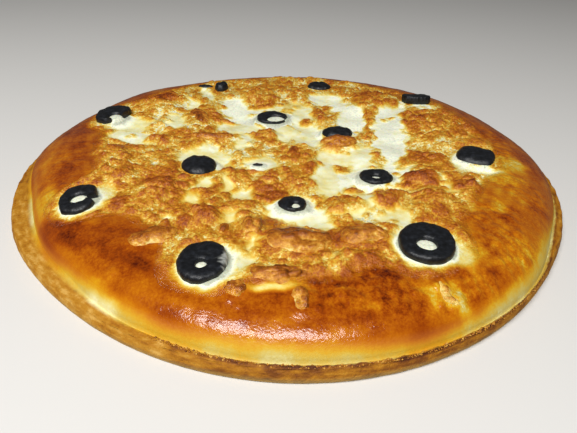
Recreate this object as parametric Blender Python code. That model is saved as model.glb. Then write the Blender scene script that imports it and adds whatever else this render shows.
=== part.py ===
"""Chicken fajita pizza, 250 mm across.

A puffed, egg-washed crust with a flat lip round its foot holds a layer of browned cheese in a shallow
dish. Slices of black olive, strips of chicken and a strand of onion are pressed into the cheese.

Lengths are in millimetres and angles in degrees. Each mesh is scaled to metres when it is finished.
+Z is up, +X is to the right of the person eating and +Y points away from them. The origin is the middle of
the underside.
"""
import math
from collections import namedtuple

import bmesh
import bpy
from mathutils import Matrix, Vector, noise

MM = 0.001
GAP = 0.3            # clearance between two pieces that touch
POCKET_GROWTH = 0.4  # a pocket's mesh is its piece swollen this far along the corner normals

# The crust.
PIZZA_RADIUS = 125.0
LIP_HEIGHT = 6.2     # top of the lip, where the dome starts
LIP_RISE = 0.14      # a wide lip slopes up to the dome by this part of its width
CREST_HEIGHT = 19.5  # highest ring of the dome
CREST_RUN = 30.0     # from the dome's foot in to its crest
CENTRE_SAG = 2.0     # the middle lies this much lower than the crest
SAG_RUN = 85.0
DISH_FLOOR = 12.0    # flat bottom of the dish that holds the cheese
CRUST_SEGMENTS = 96

# Bulges and flats of the outline: azimuth, size, half width.
RIM_BULGES = ((0, 1.2, 14), (40, 1.8, 14), (110, -1.6, 24), (140, 3.4, 13),
              (180, 1.2, 14), (228, -2.2, 20), (275, 2.4, 24), (325, -2.2, 18))
# Width of the lip outside the dome, every 22.5 degrees from +X.
LIP_WIDTHS = (4.8, 4.5, 4.5, 4.8, 5.2, 5.6, 6.0, 5.6, 5.0, 9.2, 6.1, 4.2, 3.2, 2.2, 1.6, 4.7)
# How far the cheese reaches, every 30 degrees from +X.
CHEESE_REACHES = (99, 103, 105, 105, 105, 103, 93, 90, 93, 106, 95, 91)

# The cheese.
CHEESE_GRID = 30        # faces along a side of the square that is drawn out to the cheese's outline
CHEESE_RADIUS = 97.0    # of the round that the outline's lobes and dents depart from
CHEESE_HALO = 4.6       # the cheese runs this far past an olive that lies near the rim
CHEESE_EDGE_DROP = 0.6  # its edge ends a little under the dome
RIPPLE_LENGTH = 13.0    # of the small humps all over
RIPPLE_HEIGHT = 1.6

# The cheese's browned humps, above 0, and smooth pools, below 0: middle, half sizes, turn, height.
Mound = namedtuple("Mound", "x y length width turn height")
MOUNDS = (
    Mound(5, -18, 21, 8, 95, 1.4), Mound(-33, -68, 9, 6, 10, 2.2), Mound(-53, -48, 8, 7, 60, 2.4),
    Mound(-80, -22, 13, 9, 80, 1.8), Mound(-74, -38, 11, 6, 10, 1.8), Mound(22, -55, 8, 5, 0, 2.2),
    Mound(40, -49, 8, 5, 30, 2.2), Mound(58, -48, 8, 6, 100, 2.2), Mound(57, -32, 10, 5, 10, 2.2),
    Mound(76, -43, 9, 5, 100, 1.8), Mound(18, -93, 13, 6, 10, 1.8), Mound(-62, 2, 8, 6, 0, 2.0),
    Mound(-12, 12, 7, 4, 0, 1.8), Mound(-70, 42, 13, 8, -30, 1.9), Mound(-20, 66, 15, 10, 0, 1.8),
    Mound(48, 58, 14, 11, 70, 1.9), Mound(72, 28, 16, 10, 90, 1.9), Mound(16, 34, 7, 4, 90, 1.6),
    Mound(-40, -13, 13, 10, 0, -1.0), Mound(-20, -42, 9, 6, 60, -1.0), Mound(2, -60, 15, 10, 0, -1.1),
    Mound(22, -22, 22, 11, 90, -1.1), Mound(48, -8, 24, 7, 80, -1.1), Mound(37, -38, 11, 10, 0, -1.1),
    Mound(84, -14, 14, 12, 0, -1.0), Mound(-75, 7, 19, 10, -20, -1.1), Mound(-24, 38, 17, 13, 70, -1.2),
    Mound(8, 28, 24, 8, 90, -1.0), Mound(34, 30, 18, 8, 75, -1.2), Mound(22, 60, 14, 10, 90, -1.0),
)

# Olive slices: place, length, width, turn, how blunt the outline is, the hole, azimuth of the break in the
# ring and its width, how far the slice stands above the dome, and how far it leans towards -Y. The hole's
# place is given from the slice's middle.
Hole = namedtuple("Hole", "x y length width")
Olive = namedtuple("Olive", "name x y length width turn blunt hole opening open_width proud lean")
OLIVE_THICKNESS = 4.6
OLIVES = (
    Olive("olive_front_left", -27.2, -94.4, 16.4, 19.6, 0, 0.08, Hole(-0.2, -2.4, 3.8, 4.2), 0, 0, 2.4, 0),
    Olive("olive_front_right", 47.8, -81.2, 19.5, 23.4, -15, 0.08, Hole(-0.5, -2.2, 7.0, 7.2), 0, 0, 2.8, 0),
    Olive("olive_left", -80.5, -56.9, 14.5, 19.2, 8, 0.2, Hole(0.4, -0.8, 6.4, 6.0), -4, 26, 2.4, 0),
    Olive("olive_centre_front", 1.4, -55.6, 11.3, 11.8, 0, 0.0, Hole(1.5, -2.2, 3.2, 5.0), 0, 0, 1.6, 0),
    Olive("olive_centre_right", 36.9, -31.2, 14.2, 13.4, 0, 0.15, Hole(-0.2, -1.2, 4.2, 3.8), 0, 0, 1.8, 0),
    Olive("olive_centre_back", -9.8, 33.0, 16.2, 15.8, 0, 0.05, Hole(2.0, -2.6, 9.2, 8.6), -14, 40, 1.8, 0),
    Olive("olive_left_rim", -91.9, 27.2, 17.0, 21.4, 0, 0.1, Hole(2.4, -5.2, 7.0, 7.6), -42, 112, 3.2, 0),
    Olive("olive_right_rim", 71.4, 61.0, 15.6, 12.0, 0, 0.35, Hole(0.0, 1.4, 3.0, 2.6), 0, 0, 3.8, -12),
)
# End slices without a hole: place, length, width, turn, how blunt, height of the round back, and how far it
# stands above the dome.
OliveEnd = namedtuple("OliveEnd", "name x y length width turn blunt height proud")
OLIVE_ENDS = (
    OliveEnd("olive_end_left", -39.4, -25.0, 15.4, 16.8, 25, 0.12, 5.4, 3.2),
    OliveEnd("olive_end_right", 85.4, -10.6, 17.8, 17.0, -25, 0.45, 5.4, 3.4),
    OliveEnd("olive_half_covered", 23.4, 15.8, 15.6, 12.0, 0, 0.0, 5.0, 3.2),
    OliveEnd("olive_back_right", 16.8, 82.8, 14.8, 12.6, 0, 0.1, 5.0, 2.8),
    OliveEnd("olive_back_left", -41.6, 73.4, 7.6, 9.4, 0, 0.0, 8.0, 4.8),
    OliveEnd("olive_chip", -14.0, -21.4, 5.2, 3.2, 10, 0.0, 2.8, 1.2),
    OliveEnd("olive_sliver", -51.2, 77.4, 9.8, 4.4, -10, 0.0, 3.2, 1.5),
)

# Browned strips: place, length, width, height, turn, sideways bend, part that stands proud.
Strip = namedtuple("Strip", "name x y length width height turn bend proud")
STRIPS = (
    Strip("chicken_front_curl", -2.6, -100.0, 18.4, 7.6, 5.8, 0, 1.4, 2.8),
    Strip("chicken_front_oval", 4.4, -109.6, 9.0, 5.4, 4.6, -84, 0.0, 2.2),
    Strip("chicken_front_nub", -15.5, -105.8, 7.4, 7.6, 4.4, 20, 0.0, 2.0),
    Strip("chicken_left_strip", -46.2, -80.7, 17.4, 9.4, 5.4, 25, 1.0, 2.4),
    Strip("chicken_round_lump", -12.8, -73.4, 7.2, 9.6, 7.6, 0, 0.0, 4.0),
    Strip("chicken_small_lump", -22.9, -74.8, 3.8, 5.4, 4.4, 0, 0.0, 1.8),
    Strip("chicken_ridge_middle", 3.6, -81.4, 23.4, 14.6, 7.0, -4, 1.6, 3.4),
    Strip("chicken_ridge_right", 26.8, -77.0, 18.0, 11.6, 7.0, 8, -1.6, 3.4),
    Strip("chicken_back_strip", -37.8, 6.7, 23.0, 6.2, 5.2, 4, 2.6, 2.4),
    Strip("chicken_over_olive", 23.6, 4.2, 17.6, 9.2, 6.8, 4, 0.8, 3.8),
    Strip("chicken_back_left_strip", -47.6, 31.6, 18.0, 8.4, 5.4, 120, 1.4, 2.4),
    Strip("onion_strand", 50.2, -103.4, 9.6, 4.2, 3.6, -52, 1.4, 1.2),
)
STRIP_SEGMENTS = 12
STRIP_RINGS = 6


def wrapped(angle):
    """The angle between -180 and 180 degrees."""
    return (angle + 180) % 360 - 180


def around(angle, values):
    """Value at an azimuth, eased between values that are spaced evenly round the circle."""
    place = (angle % 360) * len(values) / 360
    index = int(place)
    part = place - index
    ease = part * part * (3 - 2 * part)
    return values[index % len(values)] * (1 - ease) + values[(index + 1) % len(values)] * ease


def rim_radius(angle):
    return PIZZA_RADIUS + sum(size * math.exp(-(wrapped(angle - middle) / width) ** 2)
                              for middle, size, width in RIM_BULGES)


def dome_foot(angle):
    """Radius at which the dome rises from the lip."""
    return rim_radius(angle) - around(angle, LIP_WIDTHS)


def foot_height(angle):
    return LIP_HEIGHT + LIP_RISE * (around(angle, LIP_WIDTHS) - min(LIP_WIDTHS))


def dome_height(x, y):
    """Height of the crust's smooth top: a blunt shoulder, a crest and a slightly sunken middle."""
    angle = math.degrees(math.atan2(y, x))
    run = dome_foot(angle) - math.hypot(x, y)
    if run <= 0:
        return foot_height(angle)
    if run < CREST_RUN:
        rise = math.sqrt(1 - (1 - run / CREST_RUN) ** 2.6)
        return foot_height(angle) + (CREST_HEIGHT - foot_height(angle)) * rise
    sag = min((run - CREST_RUN) / SAG_RUN, 1)
    return CREST_HEIGHT - CENTRE_SAG * sag * sag * (3 - 2 * sag)


def cheese_reach(angle):
    """Radius of the cheese's edge: it runs out in a lobe round each olive near the rim."""
    reach = around(angle, CHEESE_REACHES)
    for olive in OLIVES + OLIVE_ENDS:
        size = max(olive.length, olive.width) / 2 + CHEESE_HALO
        distance = math.hypot(olive.x, olive.y)
        lobe = distance + size - around(angle, CHEESE_REACHES)
        if lobe > 0:
            offset = wrapped(angle - math.degrees(math.atan2(olive.y, olive.x)))
            spread = math.degrees(size / distance) * 1.15
            reach = max(reach, around(angle, CHEESE_REACHES) + lobe * math.exp(-(offset / spread) ** 4))
    return reach


def cheese_relief(x, y):
    """Height of the cheese's humps and pools over the dome."""
    relief = RIPPLE_HEIGHT * noise.noise(Vector((x, y, 0)) / RIPPLE_LENGTH)
    for mound in MOUNDS:
        turn = math.radians(mound.turn)
        along = ((x - mound.x) * math.cos(turn) + (y - mound.y) * math.sin(turn)) / mound.length
        across = ((y - mound.y) * math.cos(turn) - (x - mound.x) * math.sin(turn)) / mound.width
        relief += mound.height * math.exp(-(along * along + across * across) ** 2)
    return relief


def square_to_disc(u, v):
    """Draws a square from -1 to 1 out to a disc, keeping its rows as rings."""
    if abs(u) > abs(v):
        return Vector((u * math.cos(math.pi / 4 * v / u), u * math.sin(math.pi / 4 * v / u)))
    if v:
        return Vector((v * math.sin(math.pi / 4 * u / v), v * math.cos(math.pi / 4 * u / v)))
    return Vector((0, 0))


def linear(hex_colour):
    """An sRGB hex colour as the linear values that a material takes."""
    values = [int(hex_colour[i:i + 2], 16) / 255 for i in (0, 2, 4)]
    return [v / 12.92 if v <= 0.04045 else ((v + 0.055) / 1.055) ** 2.4 for v in values] + [1.0]


def food_material(name, hex_colour, roughness):
    material = bpy.data.materials.new(name)
    material.use_nodes = True
    shader = material.node_tree.nodes["Principled BSDF"]
    shader.inputs["Base Color"].default_value = linear(hex_colour)
    shader.inputs["Roughness"].default_value = roughness
    shader.inputs["Metallic"].default_value = 0.0
    return material


def add_object(name, bm, material=None):
    """Scales a finished mesh to metres and puts it into the scene, smooth but for its crisp edges."""
    bmesh.ops.recalc_face_normals(bm, faces=bm.faces)
    bmesh.ops.scale(bm, vec=(MM, MM, MM), verts=bm.verts)
    mesh = bpy.data.meshes.new(name)
    bm.to_mesh(mesh)
    bm.free()
    mesh.shade_smooth()
    mesh.set_sharp_from_angle(angle=math.radians(40))
    obj = bpy.data.objects.new(name, mesh)
    bpy.context.scene.collection.objects.link(obj)
    if material:
        mesh.materials.append(material)
    return obj


def as_cutter(obj):
    obj.hide_render = True
    obj.display_type = "WIRE"
    return obj


def outline(angle, piece):
    """Point of a blunt, turned oval round the origin at about this azimuth in radians."""
    turn = math.radians(piece.turn)
    across, along = math.cos(angle - turn), math.sin(angle - turn)
    bluntness = (1 / max(abs(across), abs(along))) ** piece.blunt
    place = Vector((across * piece.length / 2, along * piece.width / 2)) * bluntness
    place.rotate(Matrix.Rotation(turn, 2))
    return place


def seat(bm, x, y, turn, lift, lean=0.0):
    """Lays a piece, modelled flat round the origin, on the dome, lifts it, and leans it towards -Y."""
    step = 1.0
    slope_x = (dome_height(x + step, y) - dome_height(x - step, y)) / (2 * step)
    slope_y = (dome_height(x, y + step) - dome_height(x, y - step)) / (2 * step)
    normal = Vector((-slope_x, -slope_y - math.tan(math.radians(lean)), 1)).normalized()
    tilt = Vector((0, 0, 1)).rotation_difference(normal).to_matrix().to_4x4()
    place = Matrix.Translation(Vector((x, y, dome_height(x, y))) + normal * lift)
    heading = Matrix.Rotation(math.radians(turn), 4, "Z")
    bmesh.ops.transform(bm, matrix=place @ tilt @ heading, verts=bm.verts)


def add_topping(name, bm, material, pockets):
    """Adds a topping, and the pocket that it sits in as a swollen copy among the cutters."""
    bmesh.ops.recalc_face_normals(bm, faces=bm.faces)
    pocket = bm.copy()
    pocket.normal_update()
    swollen = [vert.co + vert.normal * POCKET_GROWTH for vert in pocket.verts]
    for vert, place in zip(pocket.verts, swollen):
        vert.co = place
    cutter = as_cutter(add_object(name + "_pocket", pocket))
    bpy.context.scene.collection.objects.unlink(cutter)
    pockets.objects.link(cutter)
    return add_object(name, bm, material)


def cut(obj, **target):
    """Cuts one object, or every object of a collection, out of obj."""
    boolean = obj.modifiers.new("cut", "BOOLEAN")
    boolean.operation = "DIFFERENCE"
    boolean.solver = "EXACT"
    if "collection" in target:
        boolean.operand_type = "COLLECTION"
        boolean.collection = target["collection"]
    else:
        boolean.object = target["object"]


def crust_section(angle):
    """Radius and height of the crust's rings at an azimuth, from the middle of the base out, up and in."""
    rim, foot, top = rim_radius(angle), dome_foot(angle), foot_height(angle)
    seam = rim - min(1.2, 0.5 * (rim - foot))
    direction = Vector((math.cos(math.radians(angle)), math.sin(math.radians(angle)), 0))
    crumble = 0.5 * noise.noise(direction * 30)
    ledge = (LIP_HEIGHT + top) / 2 + 0.3 + crumble / 2
    section = [(0, 0), (rim - 2.2, 0), (rim - 0.6, 1.1), (rim, 3.0), (rim - 0.4, 4.9),
               (seam, LIP_HEIGHT + crumble), ((seam + foot) / 2, ledge), (foot, top - 0.4)]
    for run in (0.35, 1.5, 3.8, 7.5, 13.0, 21.0, CREST_RUN):
        radius = foot - run
        uneven = 0.5 * noise.noise(direction * radius / 24) * min(run / 8, 1)
        section.append((radius, dome_height(direction.x * radius, direction.y * radius) + uneven))
    return section + [(45, CREST_HEIGHT - 0.8), (0, CREST_HEIGHT - CENTRE_SAG)]


def add_crust(pockets):
    """Turns a blank whose rings are numbered by their height, then draws each ring to its place."""
    bm = bmesh.new()
    last = len(crust_section(0)) - 1
    blank = [bm.verts.new((0 if ring in (0, last) else 1, 0, ring)) for ring in range(last + 1)]
    edges = [bm.edges.new(pair) for pair in zip(blank, blank[1:])]
    bmesh.ops.spin(bm, geom=blank + edges, cent=(0, 0, 0), axis=(0, 0, 1), angle=2 * math.pi,
                   steps=CRUST_SEGMENTS, use_merge=True)
    bmesh.ops.remove_doubles(bm, verts=bm.verts, dist=1e-4)
    for vert in bm.verts:
        angle = math.degrees(math.atan2(vert.co.y, vert.co.x))
        radius, height = crust_section(angle)[round(vert.co.z)]
        turn = math.radians(angle)
        vert.co = Vector((radius * math.cos(turn), radius * math.sin(turn), height))
    crust = add_object("crust", bm, food_material("baked crust", "C77A22", 0.35))

    dish = bmesh.new()
    bmesh.ops.create_circle(dish, cap_ends=True, segments=4 * CHEESE_GRID, radius=1)
    for vert in dish.verts:
        reach = cheese_reach(math.degrees(math.atan2(vert.co.y, vert.co.x))) + GAP
        vert.co = Vector((vert.co.x * reach, vert.co.y * reach, DISH_FLOOR))
    walls = bmesh.ops.extrude_face_region(dish, geom=dish.faces[:], use_keep_orig=True)
    top = [part for part in walls["geom"] if isinstance(part, bmesh.types.BMVert)]
    bmesh.ops.translate(dish, vec=(0, 0, CREST_HEIGHT), verts=top)
    cut(crust, object=as_cutter(add_object("dish", dish)))
    cut(crust, collection=pockets)


def add_cheese(pockets):
    """Draws a square grid out to the cheese's outline, raises its humps and pools and closes it below."""
    bm = bmesh.new()
    bmesh.ops.create_grid(bm, x_segments=CHEESE_GRID, y_segments=CHEESE_GRID, size=1)
    for vert in bm.verts:
        disc = square_to_disc(vert.co.x, vert.co.y)
        reach = cheese_reach(math.degrees(math.atan2(disc.y, disc.x)))
        place = disc * (CHEESE_RADIUS + (reach - CHEESE_RADIUS) * disc.length ** 3)
        relief = -CHEESE_EDGE_DROP if disc.length > 0.999 else cheese_relief(*place)
        vert.co = Vector((place.x, place.y, dome_height(*place) + relief))
    rim = [edge for edge in bm.edges if edge.is_boundary]
    skirt = bmesh.ops.extrude_edge_only(bm, edges=rim)["geom"]
    for part in skirt:
        if isinstance(part, bmesh.types.BMVert):
            part.co.z = DISH_FLOOR + GAP
    bmesh.ops.holes_fill(bm, edges=[edge for edge in bm.edges if edge.is_boundary])
    cut(add_object("cheese", bm, food_material("browned cheese", "D9973C", 0.4)), collection=pockets)


def add_olive_ring(olive, material, pockets):
    """Turns a section from 1, the hole, to 2, the skin, and draws it out to the outlines of hole and slice.

    A broken ring is turned part of the way and closed at its ends.
    """
    bm = bmesh.new()
    low, high, chamfer = -OLIVE_THICKNESS, 0.0, 0.7
    inset = chamfer / (0.5 * (min(olive.length, olive.width) - max(olive.hole.length, olive.hole.width)))
    section = [(1, low), (2 - inset, low), (2, low + chamfer),
               (2, high - chamfer), (2 - inset, high), (1, high)]
    corners = [bm.verts.new((radius, 0, height)) for radius, height in section]
    edges = [bm.edges.new(pair) for pair in zip(corners, corners[1:] + corners[:1])]
    sweep = 360 - olive.open_width
    steps = round((16 if olive.length > 13 else 14) * sweep / 360)
    bmesh.ops.spin(bm, geom=corners + edges, cent=(0, 0, 0), axis=(0, 0, 1), angle=math.radians(sweep),
                   steps=steps, use_merge=olive.open_width == 0)
    if olive.open_width:
        bmesh.ops.holes_fill(bm, edges=[edge for edge in bm.edges if edge.is_boundary])
    bmesh.ops.rotate(bm, cent=(0, 0, 0), verts=bm.verts,
                     matrix=Matrix.Rotation(math.radians(olive.opening + olive.open_width / 2), 3, "Z"))
    for vert in bm.verts:
        part = vert.co.xy.length - 1
        angle = math.atan2(vert.co.y, vert.co.x)
        inner = Vector((olive.hole.x + math.cos(angle) * olive.hole.length / 2,
                        olive.hole.y + math.sin(angle) * olive.hole.width / 2))
        vert.co.xy = inner.lerp(outline(angle, olive), part)
    seat(bm, olive.x, olive.y, 0, olive.proud, olive.lean)
    add_topping(olive.name, bm, material, pockets)


def add_olive_end(end, material, pockets):
    """Turns the round end of an olive, which lies on its cut face, and draws it out to its outline."""
    bm = bmesh.new()
    section = [(0, 0), (0.9, 0), (1, end.height * 0.25), (0.96, end.height * 0.6),
               (0.74, end.height * 0.9), (0.3, end.height), (0, end.height)]
    corners = [bm.verts.new((across, 0, height - end.height)) for across, height in section]
    edges = [bm.edges.new(pair) for pair in zip(corners, corners[1:])]
    bmesh.ops.spin(bm, geom=corners + edges, cent=(0, 0, 0), axis=(0, 0, 1), angle=2 * math.pi,
                   steps=14 if end.length > 10 else 8, use_merge=True)
    bmesh.ops.remove_doubles(bm, verts=bm.verts, dist=1e-4)
    for vert in bm.verts:
        vert.co.xy = outline(math.atan2(vert.co.y, vert.co.x), end) * vert.co.xy.length
    seat(bm, end.x, end.y, 0, end.proud)
    add_topping(end.name, bm, material, pockets)


def add_strip(strip, material, pockets):
    """Shapes a ball into a blunt, bent and slightly uneven strip."""
    bm = bmesh.new()
    bmesh.ops.create_uvsphere(bm, u_segments=STRIP_SEGMENTS, v_segments=STRIP_RINGS, radius=1)
    bmesh.ops.rotate(bm, cent=(0, 0, 0), matrix=Matrix.Rotation(math.pi / 2, 3, "Y"), verts=bm.verts)
    for vert in bm.verts:
        blunt = vert.co * (1 / max(abs(vert.co.x), math.hypot(vert.co.y, vert.co.z))) ** 0.35
        uneven = 1 + 0.16 * noise.noise(vert.co * 1.4 + Vector((strip.x, strip.y, 0)))
        along, across, up = blunt.x, blunt.y * uneven, blunt.z * uneven
        sideways = across * strip.width / 2 + strip.bend * (along * along - 0.4)
        vert.co = Vector((along * strip.length / 2, sideways, up * strip.height / 2))
    seat(bm, strip.x, strip.y, strip.turn, strip.proud - strip.height / 2)
    add_topping(strip.name, bm, material, pockets)


for old in list(bpy.data.objects):
    bpy.data.objects.remove(old, do_unlink=True)

pocket_cutters = bpy.data.collections.new("pockets")
bpy.context.scene.collection.children.link(pocket_cutters)

olive_flesh = food_material("black olive", "17171A", 0.35)
for slice_of_olive in OLIVES:
    add_olive_ring(slice_of_olive, olive_flesh, pocket_cutters)
for end_of_olive in OLIVE_ENDS:
    add_olive_end(end_of_olive, olive_flesh, pocket_cutters)

roast_chicken = food_material("roast chicken", "A8662C", 0.45)
soft_onion = food_material("soft onion", "D9A94E", 0.35)
for piece in STRIPS:
    add_strip(piece, soft_onion if piece.name.startswith("onion") else roast_chicken, pocket_cutters)

add_crust(pocket_cutters)
add_cheese(pocket_cutters)
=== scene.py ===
"""Chicken fajita pizza, 250 mm across: the finished pieces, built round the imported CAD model.

Sizes are in millimetres in the same frame as the solids, and each mesh is written in metres. The toppings
lie where the solids have them, and the crust and the cheese keep the solids' large form.
"""
import math
from collections import namedtuple

import bmesh
import bpy
import numpy as np
from mathutils import Matrix, Vector, noise


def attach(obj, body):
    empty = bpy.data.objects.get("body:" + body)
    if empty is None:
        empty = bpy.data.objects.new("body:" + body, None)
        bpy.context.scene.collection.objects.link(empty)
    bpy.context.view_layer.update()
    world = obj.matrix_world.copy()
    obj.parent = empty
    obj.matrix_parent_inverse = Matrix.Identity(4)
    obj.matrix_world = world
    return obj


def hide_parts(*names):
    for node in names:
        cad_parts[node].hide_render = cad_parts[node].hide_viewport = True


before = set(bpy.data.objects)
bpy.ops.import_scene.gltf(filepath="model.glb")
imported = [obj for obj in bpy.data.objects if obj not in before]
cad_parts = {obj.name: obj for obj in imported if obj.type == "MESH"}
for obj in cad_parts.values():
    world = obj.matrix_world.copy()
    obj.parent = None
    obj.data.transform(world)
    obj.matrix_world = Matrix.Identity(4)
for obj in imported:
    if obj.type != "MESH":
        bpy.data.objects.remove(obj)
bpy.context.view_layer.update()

MM = 0.001    # in metres

# The crust: a round of yeasted dough with a flat lip pressed round its foot. Its shoulder was brushed with
# egg and baked glossy, from pale yellow in the groove to deep brown on the crown. The lip stayed dry, matt
# and mottled.
PIZZA_RADIUS = 125.0
LIP_HEIGHT = 6.2
LIP_RISE = 0.14    # how much higher a wider lip meets the dome, for each millimetre
CREST_HEIGHT = 19.5
CREST_RUN = 30.0    # from the dome's foot in to its crest
CENTRE_SAG = 2.0
SAG_RUN = 85.0
# Bulges and flats of the outline: azimuth, size, half width.
RIM_BULGES = ((0, 1.2, 14), (40, 1.8, 14), (110, -1.6, 24), (140, 3.4, 13),
              (180, 1.2, 14), (228, -2.2, 20), (275, 2.4, 24), (325, -2.2, 18))
# Width of the lip outside the dome, every 22.5 degrees from +X.
LIP_WIDTHS = (4.8, 4.5, 4.5, 4.8, 5.2, 5.6, 6.0, 5.6, 5.0, 9.2, 6.1, 4.2, 3.2, 2.2, 1.6, 4.7)
# Radius of the cheese's edge, every 30 degrees from +X, and how far it runs out past an olive near the rim.
CHEESE_REACHES = (99, 103, 105, 105, 105, 103, 93, 90, 93, 106, 95, 91)
CHEESE_HALO = 4.6


def smooth(low, high, value):
    """0 below low, 1 above high, eased between."""
    part = np.clip((value - low) / (high - low), 0, 1)
    return part * part * (3 - 2 * part)


def around(angle, values):
    """Values at azimuths in degrees, eased between values spaced evenly round the circle."""
    values = np.array(values, float)
    place = (angle % 360) * len(values) / 360
    index = place.astype(int)
    part = smooth(0, 1, place - index)
    return values[index % len(values)] * (1 - part) + values[(index + 1) % len(values)] * part


def wrapped(angle):
    return (angle + 180) % 360 - 180


def rim_radius(angle):
    return PIZZA_RADIUS + sum(size * np.exp(-(wrapped(angle - middle) / width) ** 2)
                              for middle, size, width in RIM_BULGES)


def dome_foot(angle):
    return rim_radius(angle) - around(angle, LIP_WIDTHS)


def foot_height(angle):
    return LIP_HEIGHT + LIP_RISE * (around(angle, LIP_WIDTHS) - min(LIP_WIDTHS))


def dome_height(x, y):
    """Height of the smooth top: a blunt shoulder, a crest and a slightly sunken middle."""
    angle = np.degrees(np.arctan2(y, x))
    foot, low = dome_foot(angle), foot_height(angle)
    run = np.clip(foot - np.hypot(x, y), 0, None)
    rise = np.sqrt(1 - np.clip(1 - run / CREST_RUN, 0, 1) ** 2.6)
    return low + (CREST_HEIGHT - low) * rise - CENTRE_SAG * smooth(0, SAG_RUN, run - CREST_RUN)


def cloud(x, y, size, depth=None):
    """The same soft unevenness, from -1 to 1, that the solids have."""
    depth = np.zeros_like(x) if depth is None else depth
    return np.array([noise.noise(Vector(place)) for place in zip(x / size, y / size, depth)])


def hashed(column, row, seed):
    """A repeatable value from 0 to 1 for each cell of a grid."""
    mixed = column.astype(np.int64) * 374761393 + row.astype(np.int64) * 668265263 + seed * 974711
    mixed &= 0xFFFFFFFF
    mixed = ((mixed ^ (mixed >> 13)) * 1274126177) & 0xFFFFFFFF
    mixed = ((mixed ^ (mixed >> 16)) * 2246822519) & 0xFFFFFFFF
    return (mixed ^ (mixed >> 15)) / 0xFFFFFFFF


def mottle(x, y, size, seed, layers=1):
    """Cloudy unevenness from -1 to 1, about size across. Each layer is half as large and as strong."""
    total = np.zeros_like(x)
    for layer in range(layers):
        u, v = x * 2 ** layer / size + 7.3 * layer, y * 2 ** layer / size - 3.1 * layer
        column, row = np.floor(u), np.floor(v)
        corner = []
        for across in (0, 1):
            for up in (0, 1):
                turn = hashed(column + across, row + up, seed + layer) * 2 * math.pi
                corner.append(np.cos(turn) * (u - column - across) + np.sin(turn) * (v - row - up))
        ease_u, ease_v = smooth(0, 1, u - column), smooth(0, 1, v - row)
        left = corner[0] * (1 - ease_v) + corner[1] * ease_v
        right = corner[2] * (1 - ease_v) + corner[3] * ease_v
        total += (left * (1 - ease_u) + right * ease_u) * 1.6 / 2 ** layer
    return total


def cells(x, y, size, seed):
    """Scattered cells: distance to the nearest middle, in cell sizes, and that cell's own value, 0 to 1."""
    u, v = x / size, y / size
    column, row = np.floor(u), np.floor(v)
    nearest = np.full_like(u, 9.0)
    own = np.zeros_like(u)
    for across in (-1, 0, 1):
        for up in (-1, 0, 1):
            du = column + across + hashed(column + across, row + up, seed) - u
            dv = row + up + hashed(column + across, row + up, seed + 17) - v
            distance = np.hypot(du, dv)
            own = np.where(distance < nearest, hashed(column + across, row + up, seed + 31), own)
            nearest = np.minimum(nearest, distance)
    return nearest, own


Patch = namedtuple("Patch", "x y length width turn strength")


def patches(*rows):
    """Round patches from rows of middle, half sizes, turn and strength."""
    return [Patch(*row) for row in rows]


def own_axes(x, y, piece, unit=1.0):
    """Places along and across a turned piece, from its middle, in its length and width times unit."""
    turn = math.radians(piece.turn)
    along = ((x - piece.x) * math.cos(turn) + (y - piece.y) * math.sin(turn)) / (piece.length * unit)
    across = ((y - piece.y) * math.cos(turn) - (x - piece.x) * math.sin(turn)) / (piece.width * unit)
    return along, across


def outlines(x, y, group):
    """How far each place lies inside a group of patches, in millimetres, and the strength of its patch."""
    inside = np.full_like(x, -9.0)
    strength = np.zeros_like(x)
    for patch in group:
        depth = (1 - np.hypot(*own_axes(x, y, patch))) * math.sqrt(patch.length * patch.width)
        strength = np.where(depth > inside, patch.strength, strength)
        inside = np.maximum(inside, depth)
    return inside, strength


def patched(x, y, group, edge):
    """The strongest patch of a group at each place; their borders fade over edge."""
    field = np.zeros_like(x)
    for patch in group:
        field = np.maximum(field, patch.strength * smooth(-edge, edge, outlines(x, y, [patch])[0]))
    return field


# Where the glaze baked darkest, and where it stayed pale: middle, half sizes, turn, strength.
SCORCHES = patches(
    (-97, -22, 8, 20, 8, 0.16), (-104, 10, 7, 14, 10, 0.20), (-88, -77, 6, 4, 20, 0.30),
    (-61, -77, 11, 9, 0, 0.30), (-80, -74, 12, 9, -40, 0.30), (-52, -92, 14, 7, -35, 0.24),
    (-92, 62, 14, 9, -50, 0.16), (3, -115, 54, 8, 0, 0.16), (14, -102, 8, 7, 0, 0.16),
    (34, -101, 8, 9, 0, 0.18), (40, -112, 7, 8, 0, 0.30), (54, -96, 6, 3.5, 0, 0.18),
    (65, -92, 5, 3.5, 20, 0.16), (79, -61, 5, 3.5, -10, 0.30), (109, -8, 4, 14, 0, 0.24),
    (102, 14, 8, 16, 0, 0.10), (104, -34, 4, 10, 15, 0.12), (-60, 92, 16, 7, 30, 0.18),
    (0, 108, 34, 5, 0, 0.12), (60, 94, 20, 6, -30, 0.16), (-40, -106, 16, 6, -15, 0.10),
)
PALES = patches(
    (-102, -50, 7, 15, 32, 0.3), (-76, -92, 16, 5, -42, 0.06), (99, -16, 8, 8, -18, 0.36),
    (89, -30, 10, 6, -15, 0.34), (75, -54, 10, 9, 0, 0.22), (61, -85, 6, 9, 0, 0.34),
    (51, -104.5, 7, 5, 10, 0.42), (60, -90, 7, 8, 30, 0.22), (98, -62, 12, 4, 55, 0.16),
    (88, -42, 6, 16, 20, 0.16), (-62, -100, 12, 4, -30, 0.10), (80, -97, 14, 4, 38, 0.14),
    (84, -68, 12, 10, 0, 0.10), (70, -87, 9, 4, 30, 0.2), (44.5, -105, 2.4, 4, 0, 0.45),
)
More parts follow.
